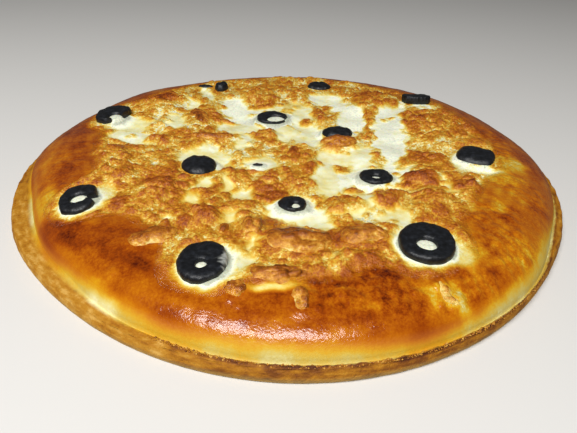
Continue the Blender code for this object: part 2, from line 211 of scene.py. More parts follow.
# Where the glaze blistered and wrinkled instead of baking smooth.
BLISTERS = patches(
    (24, -103, 22, 10, 0, 1.0), (57, -102, 16, 9, 25, 0.8), (78, -80, 11, 14, 25, 0.9),
    (76, -58, 13, 9, 0, 0.8), (96, -40, 9, 18, 15, 0.5), (98, 4, 8, 24, 0, 0.6), (-96, -30, 8, 26, 10, 0.3),
    (-60, -86, 26, 12, -35, 0.15), (-8, -113, 50, 7, 0, 0.25),
)
# Small bubbles under the glaze: middle, radius, height.
GLAZE_BUBBLES = (
    (16.8, -106.4, 2.4, 1.1), (23.2, -108.4, 1.1, 0.7), (27.5, -101.0, 1.3, 0.5), (40.5, -104.0, 1.6, 0.6),
    (-14.0, -112.0, 1.0, 0.4), (9.5, -112.5, 0.9, 0.4), (46.0, -95.5, 1.8, 0.6), (-57.0, -96.0, 2.0, 0.5),
    (72.0, -86.0, 1.6, 0.5), (84.0, -70.0, 1.8, 0.5), (-92.0, -44.0, 1.4, 0.4), (46.5, -101.5, 1.5, 0.8),
    (54.8, -104.2, 1.6, 0.8), (47.4, -107.0, 1.4, 0.7),
)
# Browning of the glaze by the distance in from the dome's foot.
SHOULDER_BROWNING = (
    (0.0, 0.12), (0.35, 0.13), (0.7, 0.17), (1.0, 0.22), (1.55, 0.29), (2.1, 0.4), (3.0, 0.5), (4.5, 0.57),
    (8.0, 0.61), (12.0, 0.62), (18.0, 0.61), (30.0, 0.6),
)
# How much sooner it browned than that, by azimuth.
SHOULDER_HASTE = (
    (0, 2.0), (15, 1.2), (170, 1.2), (180, 2.0), (205, 3.0), (215, 2.4), (224, 1.8), (235, 1.2), (246, 0.9),
    (254, 1.4), (262, 0.6), (270, 0.9), (276, 0.65), (281, 1.2), (289, 2.2), (296, 1.7), (303, 0.9),
    (312, 0.5), (320, 0.6), (330, 1.4), (338, 2.6), (350, 2.0), (360, 2.0),
)
# How much browner the groove is, every 22.5 degrees from +X.
GROOVE_BROWNING = (0.04, 0.07, 0.1, 0.1, 0.1, 0.12, 0.14, 0.18,
                   0.22, 0.22, 0.16, 0.06, 0.0, 0.05, 0.08, 0.02)
# Browning of the dry lip, every 22.5 degrees from +X: golden on the near left, brown in front and at the
# back.
LIP_BROWNING = (0.40, 0.55, 0.55, 0.55, 0.55, 0.55, 0.55, 0.52,
                0.40, 0.28, 0.20, 0.28, 0.52, 0.48, 0.42, 0.36)


# The olives, which the cheese's edge, its white halos and the pieces themselves all follow: place, length,
# width, turn, how blunt the outline is, the hole, azimuth of the break in the ring and its width, how far
# the slice stands above the dome, and how far it leans towards -Y. The hole's place is given from the
# slice's middle.
Hole = namedtuple("Hole", "x y length width")
Olive = namedtuple("Olive", "name x y length width turn blunt hole opening open_width proud lean")
OLIVE_THICKNESS = 4.6
OLIVES = (
    Olive("olive_front_left", -27.2, -94.4, 16.4, 19.6, 0, 0.08, Hole(-0.2, -2.4, 3.8, 4.2), 0, 0, 2.4, 0),
    Olive("olive_front_right", 47.8, -81.2, 19.5, 23.4, -15, 0.08, Hole(-0.5, -2.2, 7.0, 7.2), 0, 0, 2.8, 0),
    Olive("olive_left", -80.5, -56.9, 14.5, 19.2, 8, 0.2, Hole(0.4, -0.8, 6.4, 6.0), -4, 26, 2.4, 0),
    Olive("olive_centre_front", 1.4, -55.6, 11.3, 11.8, 0, 0.0, Hole(1.5, -2.2, 3.2, 5.0), 0, 0, 1.6, 0),
    Olive("olive_centre_right", 36.9, -31.2, 14.2, 13.4, 0, 0.15, Hole(-0.2, -1.2, 4.2, 3.8), 0, 0, 1.8, 0),
    Olive("olive_centre_back", -9.8, 33.0, 16.2, 15.8, 0, 0.05, Hole(2.0, -2.6, 9.2, 8.6), -14, 40, 1.8, 0),
    Olive("olive_left_rim", -91.9, 27.2, 17.0, 21.4, 0, 0.1, Hole(2.4, -5.2, 7.0, 7.6), -42, 112, 3.2, 0),
    Olive("olive_right_rim", 71.4, 61.0, 15.6, 12.0, 0, 0.35, Hole(0.0, 1.4, 3.0, 2.6), 0, 0, 3.8, -12),
)
# End slices without a hole: place, length, width, turn, how blunt, height of the round back, and how far it
# stands above the dome.
OliveEnd = namedtuple("OliveEnd", "name x y length width turn blunt height proud")
OLIVE_ENDS = (
    OliveEnd("olive_end_left", -39.4, -25.0, 15.4, 16.8, 25, 0.12, 5.4, 3.2),
    OliveEnd("olive_end_right", 85.4, -10.6, 17.8, 17.0, -25, 0.45, 5.4, 3.4),
    OliveEnd("olive_half_covered", 23.4, 15.8, 15.6, 12.0, 0, 0.0, 5.0, 3.2),
    OliveEnd("olive_back_right", 16.8, 82.8, 14.8, 12.6, 0, 0.1, 5.0, 2.8),
    OliveEnd("olive_back_left", -41.6, 73.4, 7.6, 9.4, 0, 0.0, 8.0, 4.8),
    OliveEnd("olive_chip", -14.0, -21.4, 5.2, 3.2, 10, 0.0, 2.8, 1.2),
    OliveEnd("olive_sliver", -51.2, 77.4, 9.8, 4.4, -10, 0.0, 3.2, 1.5),
)

# Browned strips of chicken, and one of onion: place, length, width, height, turn, sideways bend, how far
# they stand above the dome.
Strip = namedtuple("Strip", "name x y length width height turn bend proud")
STRIPS = (
    Strip("chicken_front_curl", -2.6, -100.0, 18.4, 7.6, 5.8, 0, 1.4, 2.8),
    Strip("chicken_front_oval", 4.4, -109.6, 9.0, 5.4, 4.6, -84, 0.0, 2.2),
    Strip("chicken_front_nub", -15.5, -105.8, 7.4, 7.6, 4.4, 20, 0.0, 2.0),
    Strip("chicken_left_strip", -46.2, -80.7, 17.4, 9.4, 5.4, 25, 1.0, 2.4),
    Strip("chicken_round_lump", -12.8, -73.4, 7.2, 9.6, 7.6, 0, 0.0, 4.0),
    Strip("chicken_small_lump", -22.9, -74.8, 3.8, 5.4, 4.4, 0, 0.0, 1.8),
    Strip("chicken_ridge_middle", 3.6, -81.4, 23.4, 14.6, 7.0, -4, 1.6, 3.4),
    Strip("chicken_ridge_right", 26.8, -77.0, 18.0, 11.6, 7.0, 8, -1.6, 3.4),
    Strip("chicken_back_strip", -37.8, 6.7, 23.0, 6.2, 5.2, 4, 2.6, 2.4),
    Strip("chicken_over_olive", 23.6, 4.2, 17.6, 9.2, 6.8, 4, 0.8, 3.8),
    Strip("chicken_back_left_strip", -47.6, 31.6, 18.0, 8.4, 5.4, 120, 1.4, 2.4),
    Strip("onion_strand", 50.2, -103.4, 9.6, 4.2, 3.6, -52, 1.4, 1.2),
)


def cheese_reach(angle):
    """Radius of the cheese's edge: it runs out in a lobe round each olive near the rim."""
    plain = around(angle, CHEESE_REACHES)
    reach = plain.copy()
    for olive in OLIVES + OLIVE_ENDS:
        size = max(olive.length, olive.width) / 2 + CHEESE_HALO
        distance = math.hypot(olive.x, olive.y)
        lobe = np.clip(distance + size - plain, 0, None)
        spread = math.degrees(size / distance) * 1.15
        offset = wrapped(angle - math.degrees(math.atan2(olive.y, olive.x)))
        reach = np.maximum(reach, plain + lobe * np.exp(-(offset / spread) ** 4))
    return reach


def past_outline(x, y, piece):
    """Distance past the outline of a topping in millimetres, below 0 inside it."""
    along, across = own_axes(x, y, piece, 0.5)
    if hasattr(piece, "bend"):
        across = across - piece.bend * (np.minimum(along * along, 1) - 0.4) / (piece.width / 2)
        blunt = 0.35
    else:
        blunt = piece.blunt
    size = np.hypot(along, across)
    bluntness = (size / np.maximum(np.maximum(np.abs(along), np.abs(across)), 1e-6)) ** blunt
    return (size / bluntness - 1) * math.sqrt(piece.length * piece.width) / 2


def in_hole(x, y, olive):
    """Distance inside the outline of a slice's hole in millimetres."""
    across = (x - olive.x - olive.hole.x) / (olive.hole.length / 2)
    along = (y - olive.y - olive.hole.y) / (olive.hole.width / 2)
    return (1 - np.hypot(across, along)) * math.sqrt(olive.hole.length * olive.hole.width) / 2


def collar(x, y, pieces, reach):
    """Nearness to some toppings, from 0 to 1 at their outlines, over a reach in millimetres."""
    nearest = np.full_like(x, 99.0)
    for piece in pieces:
        nearest = np.minimum(nearest, past_outline(x, y, piece))
    return np.exp(-(np.clip(nearest, 0, None) / reach) ** 2)


# Smooth white halos round the olives near the rim, a pale streak in front, and a painted highlight: a white
# streak along the groove on the near left. Rows: middle, half sizes, turn, whiteness.
HALOS_AND_HIGHLIGHT = patches(
    (-79.6, -57.2, 9.6, 10.8, 8, 1.0), (-72.5, -52, 4, 9, 10, 0.8), (-25.8, -95.0, 11.0, 11.4, 0, 1.0),
    (-17.5, -97, 4.5, 8, 0, 0.7), (48.0, -81.0, 12.2, 13.4, -15, 1.0), (58.5, -84, 5, 8, 0, 0.75),
    (77.4, -15, 4.5, 9, -15, 0.9), (84, -23, 10, 3.6, -12, 0.8), (-4, -105.6, 9, 1.8, 3, 0.85),
    # The row at (-60, -103.6) is a painted highlight: a white streak along the groove on the near left.
    (-88, 20, 7, 8, 0, 0.5), (-60, -103.6, 7, 2.2, -31, 0.6),
)
# Ragged pools of melted cheese, white or cream: middle, half sizes, turn, whiteness.
POOLS = patches(
    (-30, 46, 9.5, 14, 8, 1.0), (-22, 37, 7, 13, 0, 1.0), (-27, 20, 12, 8, 0, 0.35),
    (-9, 33, 11, 12, 0, 0.85), (-13, 46, 10, 6, 0, 0.35), (-24, 8, 5, 11, 0, 0.3), (-2, 16, 7, 9, 0, 0.3),
    (6, 36, 7, 18, 0, 0.35), (9, 12, 8, 15, -12, 0.4), (3, 50, 6, 6, 0, 0.1), (19, 64, 10, 8, 0, 0.7),
    (27, 54, 6, 8, 0, 0.9), (33, 34, 8.5, 20, -4, 1.0), (50, 16, 8, 40, -6, 1.0), (57, 46, 4, 14, -24, 0.6),
    (47.5, -10, 8, 19, 3, 1.0), (36, -10, 9, 12, 0, 0.45), (20, -13, 10, 10, 0, 0.35),
    (17, -32, 7, 18, 0, 0.3), (27, -30, 10, 17, 0, 0.75), (37, -31, 11, 11, 0, 1.0),
    (30, -50, 4, 9, 10, 0.75), (40, -62, 7, 7, 0, 0.6), (48, -40, 4, 2.5, 20, 0.4),
    (23, -61, 8, 2.4, 0, 0.5), (12, -69, 7, 4, -10, 0.7), (2, -57, 11, 10, 0, 0.9), (8, -63, 8, 8, 0, 0.7),
    (-18, -46, 4, 7, 10, 0.4), (-26, -40, 2.6, 6, 0, 0.2), (-37, -41, 3.4, 6, -30, 0.4),
    (-38, -53, 3.6, 4, 0, 0.0), (-39, -15, 12, 12, 0, 0.2), (-36, -3, 3, 8, 0, 0.6),
    (-29, -23, 4, 8, 0, -0.8), (-13, -20, 8, 8, 0, 0.1), (-74, 4, 13, 8, -12, 0.5),
    (-80, 18, 9, 10, 0, 0.2), (-60, 24, 5, 9, 10, 0.25), (-54, 46, 3, 12, 22, 0.35),
    (-48, 64, 4, 10, 28, 0.4), (75, 27, 3.5, 4, 0, 0.6), (60, 10, 4, 4, 0, 0.3), (74, 52, 6, 4, 0, 0.8),
    (-11, -83, 3.5, 4, 0, 0.6), (-3, -84, 3, 3, 0, 0.5), (-14, -92, 3, 5, 0, 0.5),
    (66, -36, 2.4, 7, 10, 0.5), (-44, -68, 2.5, 2, 0, 0.7), (-22, -66, 3.5, 4, 0, 0.4),
    (24, -88, 1.6, 4, 10, 0.5), (12, -91, 4, 2.5, 0, 0.4),
)
# Browned crags that stand in or between the pools: middle, half sizes, turn, strength.
CRAGS = patches(
    (5, -10, 6, 9, 0, 1.0), (5, -30, 5.5, 14, 0, 0.9), (-8, -44, 7, 10, 10, 1.0),
    (24, 4.5, 9.5, 6.5, 5, 1.0), (23.5, -20.5, 3.4, 3.2, 0, 0.6), (27, -41, 2.4, 2.2, 0, 0.5),
    (8, 31, 2.4, 2.8, 0, 0.4), (16.5, 38, 3, 11, 0, 0.9), (36, 14, 3.4, 4, 30, 0.6),
    (40, -10, 2.4, 6, 0, 0.5), (41.5, 38, 1.2, 13, -5, 0.6), (-38, 6, 12, 6, 3, 1.0),
    (-13, 14, 4.5, 5, 0, 0.9), (-17, 60, 10, 12, 0, 0.9), (49, 62, 10, 12, 0, 1.0), (66, 26, 8, 21, 0, 0.9),
    (86, 26, 13, 20, 0, 0.8), (-47, 33, 8, 9, 30, 0.9), (-70, 48, 10, 12, -10, 0.9),
    (55, -34, 9, 6, 8, 1.0), (57, -47, 8, 6, 0, 0.9), (38, -50, 5.5, 7, 0, 0.9), (21, -55, 7, 5, 0, 1.0),
    (24, -71, 5, 4, 0, 0.9), (74, -41, 5, 10, 5, 0.9), (54, -13, 3, 6, -20, 0.5), (66, -12, 6, 10, 0, 0.7),
    (-33, -67, 9, 6, 0, 1.0), (-52, -47, 6, 7, 0, 1.0), (-80, -20, 9, 12, 0, 0.8),
    (-74, -36, 10, 6, 10, 0.8), (-62, 3, 6, 5, 0, 0.8), (4, -86, 14, 9, 0, 1.0), (27, -80, 11, 8, 0, 1.0),
    (25, -89, 9, 6, 0, 0.9), (-22, -29, 7, 4, 0, 0.8),
)
# Patches of cheese that browned less than the rest, and then patches that browned more: middle, half
# sizes, turn, amount.
GOLDENS = patches(
    (-20, -6, 15, 12, 0, 0.14), (8, 57, 13, 11, 0, 0.06), (24, 4, 9, 7, 0, 0.14),
    (-60, -24, 6, 9, 10, 0.08), (-62, 34, 12, 20, 0, 0.14), (68, -52, 9, 9, 0, 0.05),
    (-6, -92, 8, 6, 0, 0.06), (84, -28, 5, 12, -15, 0.16), (-30, -78, 8, 4, 0, 0.12),
    (30, -62, 10, 5, 0, 0.14), (74, 8, 12, 12, 0, 0.08), (-20, 58, 8, 8, 0, 0.06),
)
CHARS = patches(
    (-70, 55, 6, 8, 0, 0.24), (70, 38, 2.6, 7, 0, 0.22), (78, 17, 3, 3.4, 0, 0.22),
    (-57, -39, 3.4, 2.2, 0, 0.2), (-46, -46, 4, 6, 0, 0.1), (54, -34, 7, 5, 8, 0.14),
    (74, -42, 4, 9, 5, 0.12), (-63, -62, 3, 4, 0, 0.12), (2, -6, 3, 4, 30, 0.1), (49, 70, 12, 6, 0, 0.1),
    (-28, -66, 5, 6, 0, 0.06), (92, 30, 6, 20, 0, 0.06),
)
# The small lumps of browned cheese: size, and the part of the places that has one.
LUMPS = ((9.0, 0.55), (4.8, 0.75), (2.2, 0.8))
ISLAND_SPACING = 9.0    # small browned islands in the pools


def crust_top(x, y):
    """Height of the crust's surface, slightly uneven inside the groove. The cheese lies on it.

    It swells a little against the strips pressed into it, and is wrinkled where the glaze blistered.
    """
    run = dome_foot(np.degrees(np.arctan2(y, x))) - np.hypot(x, y)
    uneven = 0.5 * cloud(x, y, 24) * np.clip(run / 8, 0, 1)
    dents = 0.08 * mottle(x, y, 3.5, 95, 2) + 0.14 * mottle(x, y, 9, 96) + 0.5 * collar(x, y, STRIPS, 1.3)
    blistered = patched(x, y, BLISTERS, 5)
    dents += blistered * (0.30 * mottle(x, y, 4.5, 98, 2) + 0.34 * domes(x, y, 2.6, 57, 0.5)
                          - 0.45 * creases(x, y))
    for bubble_x, bubble_y, size, swell in GLAZE_BUBBLES:
        dents += swell * np.exp(-(((x - bubble_x) ** 2 + (y - bubble_y) ** 2) / size ** 2) ** 1.5)
    return dome_height(x, y) + uneven + dents * smooth(1, 5, run)


def creases(x, y):
    """Folds in the baked glaze, 0 to 1 deep, 11 mm long and 3 mm apart, that run out from the middle."""
    reach, turn = np.hypot(x, y), np.arctan2(y, x)
    return np.clip(1 - 2.6 * np.abs(mottle(reach / 4, turn * 105 + 0.25 * reach, 2.8, 90, 2)), 0, 1)


def domes(x, y, size, seed, cover):
    """Convex lumps about size across, from 0 to 1 high, on the given part of a scattered grid of places."""
    nearest, own = cells(x, y, size, seed)
    return np.clip(1 - (nearest / 0.66) ** 2, 0, 1) * smooth(1 - cover, 1.25 - cover, own)


def jostled(x, y, amount, size, seed, layers=1):
    """Places pushed about a little, so that what is drawn at them has ragged borders."""
    return (x + amount * mottle(x, y, size, seed, layers), y + amount * mottle(x, y, size, seed + 1, layers))


def glaze_bake(x, y, run, blistered, ragged):
    """Browning of the egg glaze: along the shoulder, in brushed streaks, and mottled where it blistered, with
    painted shade in its folds.
    """
    angle, radius = np.degrees(np.arctan2(y, x)), np.hypot(x, y)
    haste = np.interp(angle % 360, *zip(*SHOULDER_HASTE))
    glaze = np.interp(run * haste, *zip(*SHOULDER_BROWNING))
    glaze += around(angle, GROOVE_BROWNING) * smooth(3.0, 0.5, run)
    # Brushed streaks, about 15 mm along the rim and 3 mm across, and mottles; they fade out in the groove.
    uneven = 0.14 * cloud(x / radius.clip(1) * 8, y / radius.clip(1) * 8, 1, run / 3)
    uneven += 0.10 * mottle(x, y, 16, 5, 3) + 0.07 * mottle(x, y, 4, 9, 2)
    # Where it blistered it is mottled, and its folds are painted a little darker: painted shade.
    uneven += blistered * (0.18 * mottle(x, y, 4.5, 98, 2) + 0.10 * mottle(x, y, 2.6, 99)
                           + 0.06 * creases(x, y))
    glaze += uneven * (0.15 + 0.85 * smooth(0.5, 4, run))
    glaze += patched(*ragged, SCORCHES, 5) * 0.6 - patched(*ragged, PALES, 4) * 0.8
    return glaze


def lump_crests(x, y):
    """Height of the small lumps of browned cheese, about 0 to 1."""
    soft = jostled(x, y, 0.9, 6, 15)
    large, medium, small = (domes(*soft, size, 51 + index, cover)
                            for index, (size, cover) in enumerate(LUMPS))
    # The skin of the cheese cracked in thin golden lines as it browned.
    cracks = np.clip(1 - 3.4 * np.abs(mottle(*soft, 4.2, 69, 2)), 0, 1)
    return 0.80 * np.maximum(0.9 * large, medium) + 0.20 * small - 0.26 * cracks


def baked_top(x, y):
    """What the oven did to the top at each place, as named fields.

    bake is the browning from 0, white, to 1, burnt, with painted shade in the glaze's folds and on the pools
    in front; cheesy the part that is cheese, and also the painted highlight on the near-left groove; white
    how much a place is a smooth pool, or lies in that painted highlight; crag the strength of the crags;
    crest the height of the small lumps, about 0 to 1; and speckle how much the colour varies from freckle to
    freckle.
    """
    angle, radius = np.degrees(np.arctan2(y, x)), np.hypot(x, y)
    run = dome_foot(angle) - radius
    blistered = patched(x, y, BLISTERS, 5)
    ragged = jostled(x, y, 2.4, 9, 11, 3)
    gentle = jostled(x, y, 0.9, 7, 13, 2)
    glaze = glaze_bake(x, y, run, blistered, ragged)
    # White cheese halos, and the painted highlight on the near-left groove, which takes the same pale colour.
    halo_and_highlight = patched(*gentle, HALOS_AND_HIGHLIGHT, 2.6)
    cheesy = smooth(0, 7, cheese_reach(angle) - radius + 3 * mottle(x, y, 11, 21, 2))

    crag_depth, crag_strength = outlines(*ragged, CRAGS)
    crag = crag_strength * smooth(-1.5, 1.5, crag_depth)
    pool, tint = outlines(*ragged, POOLS)
    pool = np.minimum(pool, -1.2 - crag_depth)
    island, size = cells(*gentle, ISLAND_SPACING, 41)
    pool = np.minimum(pool, np.where(size > 0.8, (island - 0.22 * size) * ISLAND_SPACING, 9))
    white = smooth(-2.4, 1.6, pool + 1.2 * mottle(x, y, 3.2, 43, 2))

    crest = lump_crests(x, y)
    browned = 0.37 + 0.11 * mottle(x, y, 14, 61, 2) + 0.34 * (crest - 0.30) + 0.09 * crag
    browned += 0.08 * mottle(x, y, 2.4, 63, 2) - 0.04 * smooth(-3.0, -0.5, pool)
    browned += 0.05 * smooth(-10, -60, y)
    browned += patched(*ragged, CHARS, 3) - patched(*ragged, GOLDENS, 4)
    milky = 0.14 - 0.12 * tint + 0.05 * mottle(x, y, 8, 65, 3) + 0.03 * mottle(x, y, 2.5, 66, 2)
    # Towards the front the pools are painted creamier and a little darker: painted shade.
    milky += 0.10 * smooth(2.0, -0.8, pool) + 0.04 * smooth(-20, -60, y)
    # Beside the olives the melted cheese is greyer.
    greyed_beside_olives = collar(x, y, OLIVES + OLIVE_ENDS, 3.4)
    cheese_bake = browned * (1 - white) + np.maximum(milky, 0.03) * (1 - 0.9 * greyed_beside_olives) * white
    bake = glaze * (1 - cheesy) + cheese_bake * cheesy
    halo_and_highlight_bake = (0.075 + 0.05 * mottle(x, y, 6, 67, 2)) * (1 - greyed_beside_olives)
    bake = bake * (1 - halo_and_highlight) + halo_and_highlight_bake * halo_and_highlight
    speckle = np.maximum(1.2 * cheesy, (0.5 + 0.3 * blistered) * (0.3 + 0.7 * smooth(1, 6, run)))
    return {"bake": np.clip(bake, 0, 1), "cheesy": np.maximum(cheesy, halo_and_highlight),
            "white": np.maximum(white * cheesy, halo_and_highlight), "crag": crag, "crest": crest, "speckle": speckle}


def linear(hex_colour):
    """An sRGB hex colour as the linear values that a material takes."""
    values = [int(hex_colour[i:i + 2], 16) / 255 for i in (0, 2, 4)]
    return [v / 12.92 if v <= 0.04045 else ((v + 0.055) / 1.055) ** 2.4 for v in values] + [1.0]


def feed(node, inputs):
    """Gives a node's inputs, by name or number, their values, or links from output sockets."""
    for name, value in inputs.items():
        if isinstance(value, bpy.types.NodeSocket):
            node.id_data.links.new(value, node.inputs[name])
        else:
            node.inputs[name].default_value = value


def add_node(tree, kind, settings=None, inputs=None):
    """Adds a shader node with some settings, and feeds its inputs."""
    node = tree.nodes.new("ShaderNode" + kind)
    for name, value in (settings or {}).items():
        setattr(node, name, value)
    feed(node, inputs or {})
    return node


def colour_steps(ramp, steps):
    """Sets a colour ramp's stops from pairs of place and hex colour."""
    stops = ramp.color_ramp.elements
    for place, _ in steps[2:]:
        stops.new(place)
    for stop, (place, colour) in zip(stops, steps):
        stop.position = place
        stop.color = linear(colour)


def material_tree(name, ior=1.45):
    material = bpy.data.materials.new(name)
    material.use_nodes = True
    shader = material.node_tree.nodes["Principled BSDF"]
    feed(shader, {"Metallic": 0.0, "IOR": ior})
    return material, material.node_tree, shader


def add_piece(name, mesh, material, slot, *nodes):
    """Puts a finished mesh into the scene as a smooth piece that stands for some CAD nodes."""
    piece = bpy.data.objects.new(name, mesh)
    bpy.context.scene.collection.objects.link(piece)
    mesh.materials.append(material)
    mesh.shade_smooth()
    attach(piece, "root")
    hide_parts(*nodes)


def mesh_of(name, bm):
    mesh = bpy.data.meshes.new(name)
    bm.to_mesh(mesh)
    bm.free()
    return mesh


def mesh_places(mesh):
    places = np.zeros(len(mesh.vertices) * 3)
    mesh.vertices.foreach_get("co", places)
    return places.reshape(-1, 3)


def set_places(mesh, x, y, z):
    """Writes the vertices' places, given in millimetres."""
    mesh.vertices.foreach_set("co", (np.stack([x, y, z], 1) * MM).ravel())
    mesh.update()


def paint(mesh, **fields):
    """Stores values of the vertices under the names that the material reads."""
    for name, values in fields.items():
        attribute = mesh.attributes.new(name, "FLOAT", "POINT")
        attribute.data.foreach_set("value", np.asarray(values, np.float32))


GLAZE_COLOURS = ((0.0, "E6E2C0"), (0.08, "D3C686"), (0.14, "C4B060"), (0.20, "C6A640"), (0.26, "C89A20"),
                 (0.33, "C48A10"), (0.42, "BB760C"), (0.54, "B06206"), (0.66, "A05004"), (0.78, "8A3A02"),
                 (1.0, "4A1202"))
CHEESE_COLOURS = ((0.0, "B2B6A0"), (0.035, "F4F6DE"), (0.08, "EEEDC4"), (0.14, "E9DE96"), (0.20, "E2C868"),
                  (0.28, "D8AC38"), (0.38, "CC8C1E"), (0.52, "B66A14"), (0.67, "9E4E0C"), (0.84, "7C3408"),
                  (1.0, "481A06"))


def browned_colour(tree):
    """Colour by browning, with fine freckles: egg glaze and cheese, mixed by how cheesy each place is.

    Hands over the place, the fields that the vertices carry, and the colour.
    """
    place = add_node(tree, "TexCoord").outputs["Object"]
    field = {name: add_node(tree, "Attribute", {"attribute_name": name}).outputs["Fac"]
             for name in ("bake", "cheesy", "white", "speckle")}
    # Freckles of 1 mm and their finer layers; the pools and the smooth glaze have few.
    freckles = add_node(tree, "TexNoise", None,
                        {"Vector": place, "Scale": 950.0, "Detail": 3.0, "Roughness": 0.75}).outputs["Fac"]
    coarseness = add_node(tree, "MapRange", None,
                          {"Value": field["white"], "To Min": field["speckle"], "To Max": 0.07}).outputs[0]
    centred = add_node(tree, "Math", {"operation": "SUBTRACT"}, {0: freckles, 1: 0.5}).outputs[0]
    browning = add_node(tree, "Math", {"operation": "MULTIPLY_ADD"},
                        {0: centred, 1: coarseness, 2: field["bake"]}).outputs[0]
    glaze = add_node(tree, "ValToRGB", None, {"Fac": browning})
    colour_steps(glaze, GLAZE_COLOURS)
    cheese = add_node(tree, "ValToRGB", None, {"Fac": browning})
    colour_steps(cheese, CHEESE_COLOURS)
    baked = add_node(tree, "Mix", {"data_type": "RGBA"},
                     {"Factor": field["cheesy"], 6: glaze.outputs["Color"],
                      7: cheese.outputs["Color"]}).outputs[2]
    return place, field, baked


# Baked dough with an egg wash: a thin satin skin whose fine wrinkles break up the highlights. The dry lip
# is matt, with streaks along it, darkest at its rough upper edge and palest at the table.
bread, tree, shader = material_tree("egg_washed_bread")
place, _, glaze_colour = browned_colour(tree)
lip = add_node(tree, "Attribute", {"attribute_name": "lip"}).outputs["Fac"]
dryness = add_node(tree, "Attribute", {"attribute_name": "dry"}).outputs["Fac"]
# The mottles of the lip, of 4 mm and finer, lie flat: they are 2.4 times as long as high.
flattened = add_node(tree, "VectorMath", {"operation": "MULTIPLY"}, {0: place, 1: (1, 1, 2.4)}).outputs[0]
streaks = add_node(tree, "TexNoise", None,
                   {"Vector": flattened, "Scale": 260.0, "Detail": 6.0, "Roughness": 0.75}).outputs["Fac"]
darker = add_node(tree, "Math", {"operation": "MULTIPLY_ADD"}, {0: streaks, 1: 0.9, 2: -0.45})
toned = add_node(tree, "Math", {"operation": "ADD"}, {0: darker.outputs[0], 1: dryness})
dry_crust = add_node(tree, "ValToRGB", None, {"Fac": toned.outputs[0]})
colour_steps(dry_crust, ((0.0, "C89A48"), (0.2, "B07A1C"), (0.4, "A06606"), (0.6, "7C4606"), (0.8, "5C2C05"),
                         (1.0, "401803")))
above_table = add_node(tree, "SeparateXYZ", None, {0: place}).outputs[2]
floury = add_node(tree, "MapRange", None,
                  {"Value": above_table, "From Min": 0.0006, "From Max": 0.0038,
                   "To Min": 0.75, "To Max": 0.0})
lip_colour = add_node(tree, "Mix", {"data_type": "RGBA"},
                      {"Factor": floury.outputs[0], 6: dry_crust.outputs["Color"],
                       7: linear("C4A45C")}).outputs[2]
colour = add_node(tree, "Mix", {"data_type": "RGBA"},
                  {"Factor": lip, 6: glaze_colour, 7: lip_colour}).outputs[2]
matt = add_node(tree, "Attribute", {"attribute_name": "matt"}).outputs["Fac"]
gloss = add_node(tree, "MapRange", None, {"Value": matt, "To Min": 0.17, "To Max": 0.7}).outputs[0]
# Wrinkles 0.8 mm apart, a pixel or two in the render, make the highlight sparkle.
wrinkles = add_node(tree, "TexNoise", None,
                    {"Vector": place, "Scale": 1300.0, "Detail": 2.0, "Roughness": 0.5}).outputs["Fac"]
height_of_them = add_node(tree, "MapRange", None,
                          {"Value": lip, "To Min": 0.0001, "To Max": 0.0004}).outputs[0]
wrinkled = add_node(tree, "Bump", None, {"Height": wrinkles, "Strength": 1.0, "Distance": height_of_them})
feed(shader, {"Base Color": colour, "Roughness": gloss, "Normal": wrinkled.outputs[0],
              "Specular IOR Level": 0.36})

CRUST_SEGMENTS = 900
UNDERSIDE_RADII = (0, 40, 80, 110)
# The outside of the lip from the table up: part of the way, distance past the rim, height.
LIP_PARTS = (0, 0.12, 0.25, 0.5, 0.75, 1)
LIP_BULGE = (-2.2, -1.3, -0.6, 0, -0.4, -1.0)
LIP_HEIGHTS = (0, 0.25, 1.1, 3.0, 4.9, 6.0)
LEDGE_INSET = 1.0    # how far inside the rim the lip's ledge starts
TORN_MIDDLE = 312    # azimuth of the middle of the torn part of the lip
LIP_RINGS = 16
SEAM_RINGS = 14
SHOULDER_RINGS = 66
SHOULDER_RUN = 36.0
BELOW_CHEESE = 3.2    # how far the crust dips under the cheese
MIDDLE_RADIUS = 45.0
ring_count = len(UNDERSIDE_RADII) + LIP_RINGS + SEAM_RINGS + SHOULDER_RINGS + 2
# A grid is rolled up: its columns go round and its rows are the rings, numbered by their height, with a
# point at each end.
bm = bmesh.new()
bmesh.ops.create_grid(bm, x_segments=CRUST_SEGMENTS, y_segments=ring_count - 1, size=1)
for vert in bm.verts:
    turn = math.pi * vert.co.x
    ring = round((vert.co.y + 1) / 2 * (ring_count - 1))
    wide = 0 if ring in (0, ring_count - 1) else 1
    vert.co = Vector((wide * math.cos(turn), wide * math.sin(turn), ring))
bmesh.ops.remove_doubles(bm, verts=bm.verts, dist=1e-4)
bmesh.ops.recalc_face_normals(bm, faces=bm.faces)
crust_mesh = mesh_of("crust_bread", bm)
blank_places = mesh_places(crust_mesh)
ring = np.rint(blank_places[:, 2]).astype(int)
angle = np.degrees(np.arctan2(blank_places[:, 1], blank_places[:, 0]))
sine, cosine = np.sin(np.radians(angle)), np.cos(np.radians(angle))
rim, foot, top = rim_radius(angle), dome_foot(angle), foot_height(angle)
arc = np.radians(angle) * PIZZA_RADIUS    # distance round the rim
crumble = np.array([noise.noise(Vector((c, s, 0)) * 30) for c, s in zip(cosine, sine)]) * 0.5
radius, height = np.zeros_like(angle), np.zeros_like(angle)
for number, across in enumerate(UNDERSIDE_RADII):
    radius[ring == number] = across
